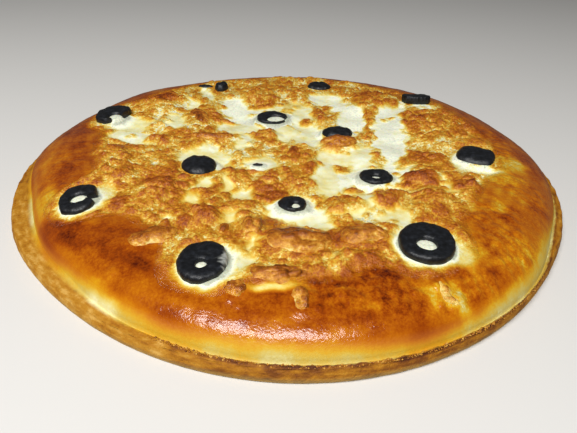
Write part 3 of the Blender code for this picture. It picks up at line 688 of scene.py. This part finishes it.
# The lip's outside: a quarter round up from the table, then a bulge that leans in to the seam.
first = len(UNDERSIDE_RADII)
part = np.clip((ring - first) / (LIP_RINGS - 1), 0, 1)
seam = rim - np.minimum(1.2, 0.5 * (rim - foot))
lip_radius, lip_height = (np.interp(part, LIP_PARTS, profile) for profile in (LIP_BULGE, LIP_HEIGHTS))
on_lip = (ring >= first) & (ring < first + LIP_RINGS)
dents = 0.25 * mottle(arc, ring * 0.5, 5, 81, 3) - 0.2
radius[on_lip] = (rim + lip_radius + dents * part)[on_lip]
height[on_lip] = (lip_height + (crumble + 0.2) * smooth(0.75, 1, part))[on_lip]
# The lip's top is a ledge up to a rough, torn edge; behind that edge lies the groove.
first += LIP_RINGS
part = np.clip((ring - first + 1) / SEAM_RINGS, 0, 1)
on_seam = (ring >= first) & (ring < first + SEAM_RINGS)
edge_radius = rim - LEDGE_INSET
seam_radius = edge_radius + (foot - edge_radius) * part
past_foot = seam_radius - foot
# The edge tore in front and on the right; on the left the lip rolls softly into the groove.
tearing = 0.25 + 0.75 * smooth(70, 40, np.abs(wrapped(angle - TORN_MIDDLE)))
torn = np.exp(-((past_foot - 1.1) / 0.8) ** 2) * smooth(0, 0.2, part) * tearing
rolled = smooth(60, 85, np.abs(wrapped(angle - TORN_MIDDLE)))
ragged = (0.45 + 0.45 * mottle(arc, ring * 0.4, 2.0, 91, 2)) * torn
ragged -= 0.5 * smooth(0.8, 0.2, past_foot) * (1 - rolled)
ragged += 1.5 * np.exp(-past_foot / 1.1) * rolled * smooth(0, 0.3, part)
seam_height = LIP_HEIGHT + crumble * (1 - part) + (top - LIP_HEIGHT) * part + ragged
radius[on_seam] = seam_radius[on_seam]
height[on_seam] = seam_height[on_seam]
# The shoulder, and on under the cheese.
first += SEAM_RINGS
on_shoulder = (ring >= first) & (ring < first + SHOULDER_RINGS)
part = np.clip((ring - first + 1) / SHOULDER_RINGS, 0, 1)
run = SHOULDER_RUN * part ** 1.35
shoulder_radius = foot - run
dome = crust_top(shoulder_radius * cosine, shoulder_radius * sine)
dome -= BELOW_CHEESE * smooth(1.5, 4.5, cheese_reach(angle) - shoulder_radius)
radius[on_shoulder] = shoulder_radius[on_shoulder]
height[on_shoulder] = dome[on_shoulder]
middle = ring >= first + SHOULDER_RINGS
radius[middle] = np.where(ring == ring_count - 1, 0, MIDDLE_RADIUS)[middle]
height[middle] = CREST_HEIGHT - CENTRE_SAG - BELOW_CHEESE
x, y = radius * cosine, radius * sine
set_places(crust_mesh, x, y, height)
fields = baked_top(x, y)
uneven_reach = radius - foot + 0.25 * mottle(arc, ring * 0.4, 2.5, 93, 2)
inside_lip = smooth(0.5 - 0.7 * rolled, 1.1 + 1.2 * rolled, uneven_reach)
lip_part = np.where(ring < len(UNDERSIDE_RADII) + LIP_RINGS, 1, inside_lip)
above_lip = ring >= len(UNDERSIDE_RADII) + LIP_RINGS - 3
torn_edge = np.exp(-((radius - foot - 1.1) / 0.7) ** 2) * above_lip * tearing
# Streaks run along the lip, about 6 mm long and 2 mm apart.
streaked = mottle(arc / 3.5, rim - radius + height, 1.9, 92, 3)
dry = around(angle, LIP_BROWNING) + 0.20 * torn_edge + 0.12 * mottle(arc, height, 8, 97, 3) + 0.20 * streaked
matt = np.maximum(lip_part, 0.75 * smooth(3.0, 1.0, foot - radius))
paint(crust_mesh, lip=lip_part, dry=dry, matt=matt, **fields)
add_piece("crust_bread", crust_mesh, bread, "crust", "crust")

# The torn edge: in front and on the right the skin of the dome split from the lip as it rose. The moist
# crumb boiled out of the split as a row of small bubbles, which baked golden and glossy.
TORN_FROM, TORN_TO = 250, 322    # azimuths
BUBBLES = 640
bubble_numbers = np.arange(BUBBLES)
chance = [hashed(bubble_numbers, np.full(BUBBLES, row), 71) for row in range(5)]
bubble_angles = TORN_FROM + (TORN_TO - TORN_FROM) * (bubble_numbers + chance[0]) / BUBBLES
bubble_sizes = (0.14 + 0.26 * chance[1] ** 2) * (1 - 0.6 * smooth(300, 322, bubble_angles))
bubble_past = 1.15 + 1.1 * (chance[2] - 0.5)
ledge = rim_radius(bubble_angles) - LEDGE_INSET - dome_foot(bubble_angles)
bubble_rise = np.clip(1 - bubble_past / np.maximum(ledge, 1.2), 0, 1)
bubble_heights = LIP_HEIGHT + (foot_height(bubble_angles) - LIP_HEIGHT) * bubble_rise
bubble_heights += 0.35 * np.exp(-((bubble_past - 1.1) / 0.8) ** 2)
ball = bmesh.new()
bmesh.ops.create_uvsphere(ball, u_segments=8, v_segments=5, radius=1)
ball_mesh = mesh_of("bubble", ball)
bm = bmesh.new()
for turn, size, past, up in zip(np.radians(bubble_angles), bubble_sizes, bubble_past, bubble_heights):
    reach = float(dome_foot(np.degrees(turn))) + past
    place = Matrix.Translation(Vector((reach * math.cos(turn), reach * math.sin(turn), up)))
    bubble = ball_mesh.copy()
    bubble.transform(Matrix.Scale(MM, 4) @ place @ Matrix.Diagonal((size, size, 0.8 * size, 1)))
    bm.from_mesh(bubble)
    bpy.data.meshes.remove(bubble)
# Boiled crumb: glossy and golden, with browner spots of 2 mm.
boiled_crumb, tree, shader = material_tree("boiled_crumb")
place = add_node(tree, "TexCoord").outputs["Object"]
spots = add_node(tree, "TexNoise", None, {"Vector": place, "Scale": 600.0, "Detail": 2.0}).outputs["Fac"]
tone = add_node(tree, "ValToRGB", None, {"Fac": spots})
colour_steps(tone, ((0.32, "CDA04A"), (0.46, "AE7418"), (0.58, "8A500A"), (0.7, "683606")))
feed(shader, {"Base Color": tone.outputs["Color"], "Roughness": 0.4})
add_piece("torn_edge_bubbles", mesh_of("torn_edge_bubbles", bm), boiled_crumb, "crust", "crust")

# The cheese: grated mozzarella that melted into one sheet. It bubbled and browned into crags where it stood
# proud, and stayed white and smooth in the pools, round the olives and in their holes.
# Humps, above 0, and hollows: middle, half sizes, turn, height.
MOUNDS = patches(
    (5, -18, 21, 8, 95, 1.4), (-33, -68, 9, 6, 10, 2.2), (-53, -48, 8, 7, 60, 2.4),
    (-80, -22, 13, 9, 80, 1.8), (-74, -38, 11, 6, 10, 1.8), (22, -55, 8, 5, 0, 2.2),
    (40, -49, 8, 5, 30, 2.2), (58, -48, 8, 6, 100, 2.2), (57, -32, 10, 5, 10, 2.2),
    (76, -43, 9, 5, 100, 1.8), (18, -93, 13, 6, 10, 1.8), (-62, 2, 8, 6, 0, 2.0), (-12, 12, 7, 4, 0, 1.8),
    (-70, 42, 13, 8, -30, 1.9), (-20, 66, 15, 10, 0, 1.8), (48, 58, 14, 11, 70, 1.9),
    (72, 28, 16, 10, 90, 1.9), (16, 34, 7, 4, 90, 1.6), (-40, -13, 13, 10, 0, -1.0),
    (-20, -42, 9, 6, 60, -1.0), (2, -60, 15, 10, 0, -1.1), (22, -22, 22, 11, 90, -1.1),
    (48, -8, 24, 7, 80, -1.1), (37, -38, 11, 10, 0, -1.1), (84, -14, 14, 12, 0, -1.0),
    (-75, 7, 19, 10, -20, -1.1), (-24, 38, 17, 13, 70, -1.2), (8, 28, 24, 8, 90, -1.0),
    (34, 30, 18, 8, 75, -1.2), (22, 60, 14, 10, 90, -1.0),
)
RIPPLE_LENGTH = 13.0
RIPPLE_HEIGHT = 1.6
CHEESE_GRID = 300
CHEESE_RADIUS = 97.0
CHEESE_UNDERSIDE = 12.3    # height of its flat, hidden underside


def cheese_relief(x, y, fields):
    """Height of the cheese over the crust: humps and pools, and crags with small lumps that browned first."""
    relief = RIPPLE_HEIGHT * cloud(x, y, RIPPLE_LENGTH)
    for mound in MOUNDS:
        along, across = own_axes(x, y, mound)
        relief += mound.strength * np.exp(-(along * along + across * across) ** 2)
    white = fields["white"]
    crags = 2.0 * (fields["crest"] - 0.28) + 0.12 * mottle(x, y, 1.7, 103)
    relief += (0.3 + crags * (0.75 + 0.25 * fields["crag"])) * (1 - white)
    return relief + (0.08 * mottle(x, y, 3, 104) - 0.55) * white


bm = bmesh.new()
bmesh.ops.create_grid(bm, x_segments=CHEESE_GRID, y_segments=CHEESE_GRID, size=1)
rim_edges = [edge for edge in bm.edges if edge.is_boundary]
skirt = bmesh.ops.extrude_edge_only(bm, edges=rim_edges)["geom"]
hem = [part for part in skirt if isinstance(part, bmesh.types.BMVert)]
bmesh.ops.translate(bm, vec=(0, 0, -1), verts=hem)
bmesh.ops.holes_fill(bm, edges=[edge for edge in bm.edges if edge.is_boundary])
bmesh.ops.recalc_face_normals(bm, faces=bm.faces)
cheese_mesh = mesh_of("melted_cheese", bm)
u, v, layer = mesh_places(cheese_mesh).T
# The square is drawn out to a disc that keeps its rows as rings.
sideways = np.abs(u) > np.abs(v)
safe_u, safe_v = np.where(u == 0, 1, u), np.where(v == 0, 1, v)
disc_x = np.where(sideways, u * np.cos(math.pi / 4 * v / safe_u), v * np.sin(math.pi / 4 * u / safe_v))
disc_y = np.where(sideways, u * np.sin(math.pi / 4 * v / safe_u), v * np.cos(math.pi / 4 * u / safe_v))
size = np.hypot(disc_x, disc_y)
reach = cheese_reach(np.degrees(np.arctan2(disc_y, disc_x)))
stretch = CHEESE_RADIUS + (reach - CHEESE_RADIUS) * size ** 3
x, y = disc_x * stretch, disc_y * stretch
fields = baked_top(x, y)
relief = cheese_relief(x, y, fields)
for piece in OLIVES + OLIVE_ENDS:
    # The cheese lies low and smooth against a slice, with a thin rim where it wets the skin.
    past = past_outline(x, y, piece)
    beside = smooth(3.5, 0.8, past)
    relief = relief * (1 - beside) + (0.4 * np.exp(-(np.clip(past, 0, None) / 0.8) ** 2) - 0.2) * beside
for strip in STRIPS:
    # It climbs up the sides of the chicken, unevenly.
    near = np.exp(-(np.clip(past_outline(x, y, strip), 0, None) / 2.0) ** 2)
    climb = 0.10 * strip.proud + 0.4 * mottle(x, y, 3.2, 105, 2)
    relief = relief * (1 - 0.8 * near) + climb * near
for olive in OLIVES:
    filled = smooth(-0.6, 0.4, in_hole(x, y, olive))
    level = olive.proud - 1.7 + 0.3 * np.clip(in_hole(x, y, olive), -1, 1)
    relief = relief * (1 - filled) + level * filled
    fields["white"] = np.maximum(fields["white"], filled)
    fields["bake"] = fields["bake"] * (1 - filled) + 0.025 * filled
edge = smooth(0.0, 6.0, reach - np.hypot(x, y)) * (0.3 + 0.7 * fields["cheesy"])
relief = relief * edge - 0.12 * (1 - edge) * smooth(1.2, 0.0, reach - np.hypot(x, y))
height = np.where(layer < 0, CHEESE_UNDERSIDE, crust_top(x, y) + relief)
set_places(cheese_mesh, x, y, height)
paint(cheese_mesh, **fields)

# Melted mozzarella: milky and slightly see-through where it is white. Where it browned, films of oil 3 mm
# across shine on a skin with blisters of 1 mm.
mozzarella, tree, shader = material_tree("browned_mozzarella", 1.44)
place, field, colour = browned_colour(tree)
oil = add_node(tree, "TexNoise", None,
               {"Vector": place, "Scale": 300.0, "Detail": 2.0}).outputs["Fac"]
oily = add_node(tree, "Math", {"operation": "MULTIPLY"}, {0: oil, 1: field["cheesy"]}).outputs[0]
gloss = add_node(tree, "MapRange", None, {"Value": oily, "To Min": 0.18, "To Max": 0.46}).outputs[0]
grain = add_node(tree, "TexNoise", None,
                 {"Vector": place, "Scale": 1100.0, "Detail": 3.0, "Roughness": 0.7}).outputs["Fac"]
depth = add_node(tree, "MapRange", None, {"Value": field["white"], "To Min": 1.0, "To Max": 0.15}).outputs[0]
blisters = add_node(tree, "Bump", None, {"Height": grain, "Strength": depth, "Distance": 0.0007})
feed(shader, {"Base Color": colour, "Roughness": gloss, "Normal": blisters.outputs[0],
              "Subsurface Weight": 0.15, "Subsurface Radius": (1.0, 0.6, 0.25), "Subsurface Scale": 2 * MM})
add_piece("melted_cheese", cheese_mesh, mozzarella, "cheese", "cheese")

# The olives: black olives cut across into rings, and a few round ends, pressed into the cheese, which fills
# their holes. The flesh is near black with a bluish cast and a satin shine, uneven every 2 mm, which breaks
# up the highlights; its paler blue-grey flecks are painted sheen. A film of cheese dried on one of them.
black_olive, tree, shader = material_tree("black_olive")
place = add_node(tree, "TexCoord").outputs["Object"]
flesh = add_node(tree, "TexNoise", None,
                 {"Vector": place, "Scale": 500.0, "Detail": 4.0, "Roughness": 0.6}).outputs["Fac"]
tone = add_node(tree, "ValToRGB", None, {"Fac": flesh})
# The paler blue-grey stops of the flesh's colour are painted sheen.
colour_steps(tone, ((0.3, "08090B"), (0.52, "111317"), (0.68, "1E2127"), (0.8, "363A42")))
film = add_node(tree, "Attribute", {"attribute_name": "film"}).outputs["Fac"]
filmed = add_node(tree, "Mix", {"data_type": "RGBA"},
                  {"Factor": film, 6: tone.outputs["Color"], 7: linear("B4B6AE")}).outputs[2]
gloss = add_node(tree, "MapRange", None, {"Value": flesh, "To Min": 0.30, "To Max": 0.62}).outputs[0]
pores = add_node(tree, "Bump", None, {"Height": flesh, "Strength": 0.7, "Distance": 0.0005})
feed(shader, {"Base Color": filmed, "Roughness": gloss, "Normal": pores.outputs[0]})


def height_at(x, y):
    return float(dome_height(np.array([float(x)]), np.array([float(y)]))[0])


def seat(bm, piece, lift, turn=0.0, lean=0.0):
    """Lays a piece, modelled flat round the origin, on the dome, lifts it, and leans it towards -Y."""
    x, y = piece.x, piece.y
    slope_x = (height_at(x + 1, y) - height_at(x - 1, y)) / 2
    slope_y = (height_at(x, y + 1) - height_at(x, y - 1)) / 2
    normal = Vector((-slope_x, -slope_y - math.tan(math.radians(lean)), 1)).normalized()
    tilt = Vector((0, 0, 1)).rotation_difference(normal).to_matrix().to_4x4()
    place = Matrix.Translation(Vector((x, y, height_at(x, y))) + normal * lift)
    heading = Matrix.Rotation(math.radians(turn), 4, "Z")
    bmesh.ops.transform(bm, matrix=Matrix.Scale(MM, 4) @ place @ tilt @ heading, verts=bm.verts)
    bmesh.ops.recalc_face_normals(bm, faces=bm.faces)


def outline(angle, piece):
    """Point of a blunt, turned, slightly wavy oval round the origin at about this azimuth in radians."""
    turn = math.radians(piece.turn)
    across, along = math.cos(angle - turn), math.sin(angle - turn)
    bluntness = (1 / max(abs(across), abs(along))) ** piece.blunt
    place = Vector((across * piece.length / 2, along * piece.width / 2)) * bluntness
    place.rotate(Matrix.Rotation(turn, 2))
    wave = 0.5 * noise.noise(Vector((math.cos(angle) * 1.6, math.sin(angle) * 1.6, piece.x)))
    nicks = 0.2 * noise.noise(Vector((math.cos(angle) * 5, math.sin(angle) * 5, piece.y)))
    return place * (1 + (wave + nicks) / place.length)


FILM = Patch(-19.6, -93.4, 2.2, 4.8, 0, 1.0)


def add_olive(name, bm, node):
    """Adds a finished slice, with the film of cheese that lies over the place named FILM."""
    mesh = mesh_of(name, bm)
    x, y, _ = mesh_places(mesh).T / MM
    filmed = outlines(x, y, [FILM])[0] + 2.4 * mottle(x / 2.4, y, 1.2, 111, 2)
    paint(mesh, film=0.85 * smooth(-0.6, 2.4, filmed))
    add_piece(name, mesh, black_olive, "olive", node)
    mesh.set_sharp_from_angle(angle=math.radians(60))


for olive in OLIVES:
    # A section from 1, the hole, to 2, the skin, is turned and drawn out to the outlines of hole and slice.
    bm = bmesh.new()
    low = -OLIVE_THICKNESS
    band = 0.5 * (min(olive.length, olive.width) - max(olive.hole.length, olive.hole.width))
    # The slice that leans is seen from its side, where its skin is pleated and its edges are crisp.
    skin, lining = 0.5 if olive.lean else min(1.6, 0.4 * band), min(1.2, 0.35 * band)
    section = [(1, low), (2 - 0.7 / band, low), (2, low + 0.7), (2, -skin)]
    for turn in (20, 40, 60, 80):
        turn = math.radians(turn)
        section.append((2 - skin * (1 - math.cos(turn)) / band, -skin * (1 - math.sin(turn))))
    section += [(2 - 1.2 * skin / band, 0.02), (1.5, 0.05), (1 + 1.2 * lining / band, 0)]
    for turn in (75, 50, 25):
        turn = math.radians(turn)
        section.append((1 + lining * (1 - math.cos(turn)) / band, -lining * (1 - math.sin(turn))))
    section.append((1, -lining - 1))
    corners = [bm.verts.new((across, 0, up)) for across, up in section]
    edges = [bm.edges.new(pair) for pair in zip(corners, corners[1:] + corners[:1])]
    sweep = 360 - olive.open_width
    bmesh.ops.spin(bm, geom=corners + edges, cent=(0, 0, 0), axis=(0, 0, 1), angle=math.radians(sweep),
                   steps=round(96 * sweep / 360), use_merge=olive.open_width == 0)
    if olive.open_width:
        bmesh.ops.holes_fill(bm, edges=[edge for edge in bm.edges if edge.is_boundary])
    bmesh.ops.rotate(bm, cent=(0, 0, 0), verts=bm.verts,
                     matrix=Matrix.Rotation(math.radians(olive.opening + olive.open_width / 2), 3, "Z"))
    for vert in bm.verts:
        across = vert.co.xy.length - 1
        angle = math.atan2(vert.co.y, vert.co.x)
        inner = Vector((olive.hole.x + math.cos(angle) * olive.hole.length / 2,
                        olive.hole.y + math.sin(angle) * olive.hole.width / 2))
        pleats = 1 + 0.02 * math.sin(angle * 23) * (olive.lean != 0)
        vert.co.xy = inner.lerp(outline(angle, olive) * pleats, across)
        vert.co.z += 0.3 * noise.noise(Vector((vert.co.x / 4, vert.co.y / 4, olive.x)))
        vert.co.z += 0.16 * noise.noise(Vector((vert.co.x / 1.3, vert.co.y / 1.3, olive.x)))
    seat(bm, olive, olive.proud - 0.15, 0, olive.lean)
    add_olive("slice_" + olive.name, bm, olive.name)

# An end from the middle of its flat base round its back, in shares of its half width and its height.
END_SECTION = ((0, 0), (0.9, 0), (1, 0.25), (0.995, 0.42), (0.96, 0.6), (0.88, 0.77), (0.74, 0.9),
               (0.54, 0.97), (0.3, 1), (0.12, 1), (0, 1))
for end in OLIVE_ENDS:
    bm = bmesh.new()
    corners = [bm.verts.new((across, 0, (up - 1) * end.height)) for across, up in END_SECTION]
    edges = [bm.edges.new(pair) for pair in zip(corners, corners[1:])]
    bmesh.ops.spin(bm, geom=corners + edges, cent=(0, 0, 0), axis=(0, 0, 1), angle=2 * math.pi,
                   steps=64, use_merge=True)
    bmesh.ops.remove_doubles(bm, verts=bm.verts, dist=1e-4)
    for vert in bm.verts:
        vert.co.xy = outline(math.atan2(vert.co.y, vert.co.x), end) * vert.co.xy.length
        vert.co.z += 0.5 * noise.noise(Vector((vert.co.x / 3, vert.co.y / 3, end.x)))
        vert.co.z += 0.15 * noise.noise(Vector((vert.co.x / 1.2, vert.co.y / 1.2, end.x)))
    seat(bm, end, end.proud - 0.45)
    add_olive("round_" + end.name, bm, end.name)

# The chicken and the onion: strips of breast meat, seasoned and browned, half sunk in the cheese, with
# fibres along their length, and one strand of soft onion on the near right of the crust. Both shine with a
# thin film of fat: the chicken is tan with dark seasoned spots, and the onion pale yellow and browned at
# its tips.
def meat_material(name, steps):
    """Cooked fibres: grain of 1 mm over the browning and painted shade that the strip's vertices carry, with
    a film of fat.
    """
    material, tree, shader = material_tree(name, 1.42)
    place = add_node(tree, "TexCoord").outputs["Object"]
    bake = add_node(tree, "Attribute", {"attribute_name": "bake"}).outputs["Fac"]
    grain = add_node(tree, "TexNoise", None,
                     {"Vector": place, "Scale": 900.0, "Detail": 4.0, "Roughness": 0.75}).outputs["Fac"]
    shift = add_node(tree, "Math", {"operation": "MULTIPLY_ADD"}, {0: grain, 1: 0.7, 2: -0.35})
    browning = add_node(tree, "Math", {"operation": "ADD"}, {0: bake, 1: shift.outputs[0]}).outputs[0]
    tone = add_node(tree, "ValToRGB", None, {"Fac": browning})
    colour_steps(tone, steps)
    fibres = add_node(tree, "Bump", None, {"Height": grain, "Strength": 0.9, "Distance": 0.0005})
    feed(shader, {"Base Color": tone.outputs["Color"], "Roughness": 0.2, "Normal": fibres.outputs[0]})
    return material


roast_chicken = meat_material("roast_chicken", (
    (0.0, "EAD68C"), (0.16, "DCB050"), (0.32, "CC8C30"), (0.48, "B4701E"), (0.66, "965014"), (0.84, "743A0C"),
    (1.0, "4C2406")))
soft_onion = meat_material("soft_onion", (
    (0.0, "F2E2A0"), (0.5, "E2BE62"), (0.8, "C88C30"), (1.0, "9A5412")))
for strip in STRIPS:
    bm = bmesh.new()
    bmesh.ops.create_uvsphere(bm, u_segments=96, v_segments=64, radius=1)
    bmesh.ops.rotate(bm, cent=(0, 0, 0), matrix=Matrix.Rotation(math.pi / 2, 3, "Y"), verts=bm.verts)
    seed = Vector((strip.x, strip.y, 0))
    half = Vector((strip.length, strip.width, strip.height)) / 2
    browning_and_shade = []
    for vert in bm.verts:
        blunt = vert.co * (1 / max(abs(vert.co.x), math.hypot(vert.co.y, vert.co.z))) ** 0.2
        uneven = 1 + 0.3 * noise.noise(vert.co * 1.4 + seed)
        place = Vector((blunt.x * half.x, blunt.y * uneven * half.y, blunt.z * uneven * half.z))
        # Fibres run along the strip, 1.2 mm apart, over lumps of 3.5 mm. The skin is pebbly and crumbly.
        fibre = noise.noise(Vector((place.x / 5, place.y / 1.2, place.z / 1.2)) + seed)
        lumps = noise.noise(place / 3.5 + seed)
        pebbles = 0.45 - noise.voronoi(place / 1.6 + seed)[0][0]
        crumbs = 0.4 - noise.voronoi(place / 0.8 + seed)[0][0]
        # The front strip's right end is rolled in on itself, with a groove round the roll.
        rolled_up = math.exp(-((math.hypot(place.x - 5.6, place.y + 0.4) - 2.3) / 0.7) ** 2)
        rolled_up *= strip.name == "chicken_front_curl"
        swell = 0.2 * fibre + 0.4 * lumps + 0.5 * pebbles + 0.35 * crumbs + 0.05 - 1.0 * rolled_up
        vert.co = place + vert.co.normalized() * swell
        vert.co.y += strip.bend * (blunt.x * blunt.x - 0.4)
        height = (vert.co.z + strip.proud - half.z) / strip.proud
        # One long side of each strip, the far side for most of them, is painted darker as painted shade, and
        # so is the groove round the roll.
        browning_and_shade.append(0.38 + 0.30 * min(max(height, 0), 1) + 0.16 * blunt.y + 0.12 * fibre + 0.26 * lumps
                     + 0.42 * pebbles + 0.16 * crumbs + 0.2 * rolled_up)
    seat(bm, strip, strip.proud - strip.height / 2, strip.turn)
    name = strip.name.replace("chicken_", "meat_").replace("onion_", "soft_onion_")
    mesh = mesh_of(name, bm)
    paint(mesh, bake=browning_and_shade)
    onion = strip.name.startswith("onion")
    add_piece(name, mesh, soft_onion if onion else roast_chicken, "onion" if onion else "chicken", strip.name)

# The studio: a plain pale sheet of matt paper, one long soft box above and in front of the pizza, and a
# little fill from all round.
FLOOR_RADIUS = 3.0
bm = bmesh.new()
bmesh.ops.create_circle(bm, cap_ends=True, segments=96, radius=FLOOR_RADIUS)
floor = bpy.data.objects.new("floor", mesh_of("floor", bm))
bpy.context.scene.collection.objects.link(floor)
paper, tree, shader = material_tree("studio_paper")
feed(shader, {"Base Color": linear("D8D6D2"), "Roughness": 0.9})
floor.data.materials.append(paper)
floor.visible_glossy = False    # the glaze would mirror it as a pale haze

world = bpy.data.worlds.new("studio")
bpy.context.scene.world = world
world.use_nodes = True
feed(world.node_tree.nodes["Background"], {"Color": linear("F4F2EE"), "Strength": 0.10})
bpy.context.scene.view_settings.view_transform = "Standard"

# The highlight along the near shoulder places the box: overhead, in front and a little to the left.
KEY_AIM = Vector((0, -0.11, 0.015))
KEY_DIRECTION = Vector((-0.17, -0.53, 0.82)).normalized()
KEY_DISTANCE = 0.9
lamp = bpy.data.lights.new("key", "AREA")
lamp.shape = "RECTANGLE"
lamp.size, lamp.size_y = 0.75, 0.17
lamp.energy = 12.4
key = bpy.data.objects.new("key", lamp)
bpy.context.scene.collection.objects.link(key)
key.location = KEY_AIM + KEY_DIRECTION * KEY_DISTANCE
key.rotation_mode = "QUATERNION"
key.rotation_quaternion = KEY_DIRECTION.to_track_quat("Z", "Y")

# The camera stands where the photograph was taken from. The lens is 520 pixels long in 577 pixels of width.
PICTURE_WIDTH, LENS_LENGTH, SENSOR_WIDTH = 577, 520, 36
CAMERA_PLACE = (0, -0.227845, 0.122611)
camera_data = bpy.data.cameras.new("camera")
camera_data.sensor_width = SENSOR_WIDTH
camera_data.lens = SENSOR_WIDTH * LENS_LENGTH / PICTURE_WIDTH
camera = bpy.data.objects.new("camera", camera_data)
bpy.context.scene.collection.objects.link(camera)
pitch, yaw, roll = 0.566139, 0.000673, 0.026744
forward = Vector((math.sin(yaw) * math.cos(pitch), math.cos(yaw) * math.cos(pitch), -math.sin(pitch)))
right = forward.cross(Vector((0, 0, 1))).normalized()
upward = right.cross(forward)
camera_right = math.cos(roll) * right + math.sin(roll) * upward
camera_up = math.cos(roll) * upward - math.sin(roll) * right
pose = Matrix((camera_right, camera_up, -forward)).transposed().to_4x4()
pose.translation = CAMERA_PLACE
camera.matrix_world = pose
bpy.context.scene.camera = camera
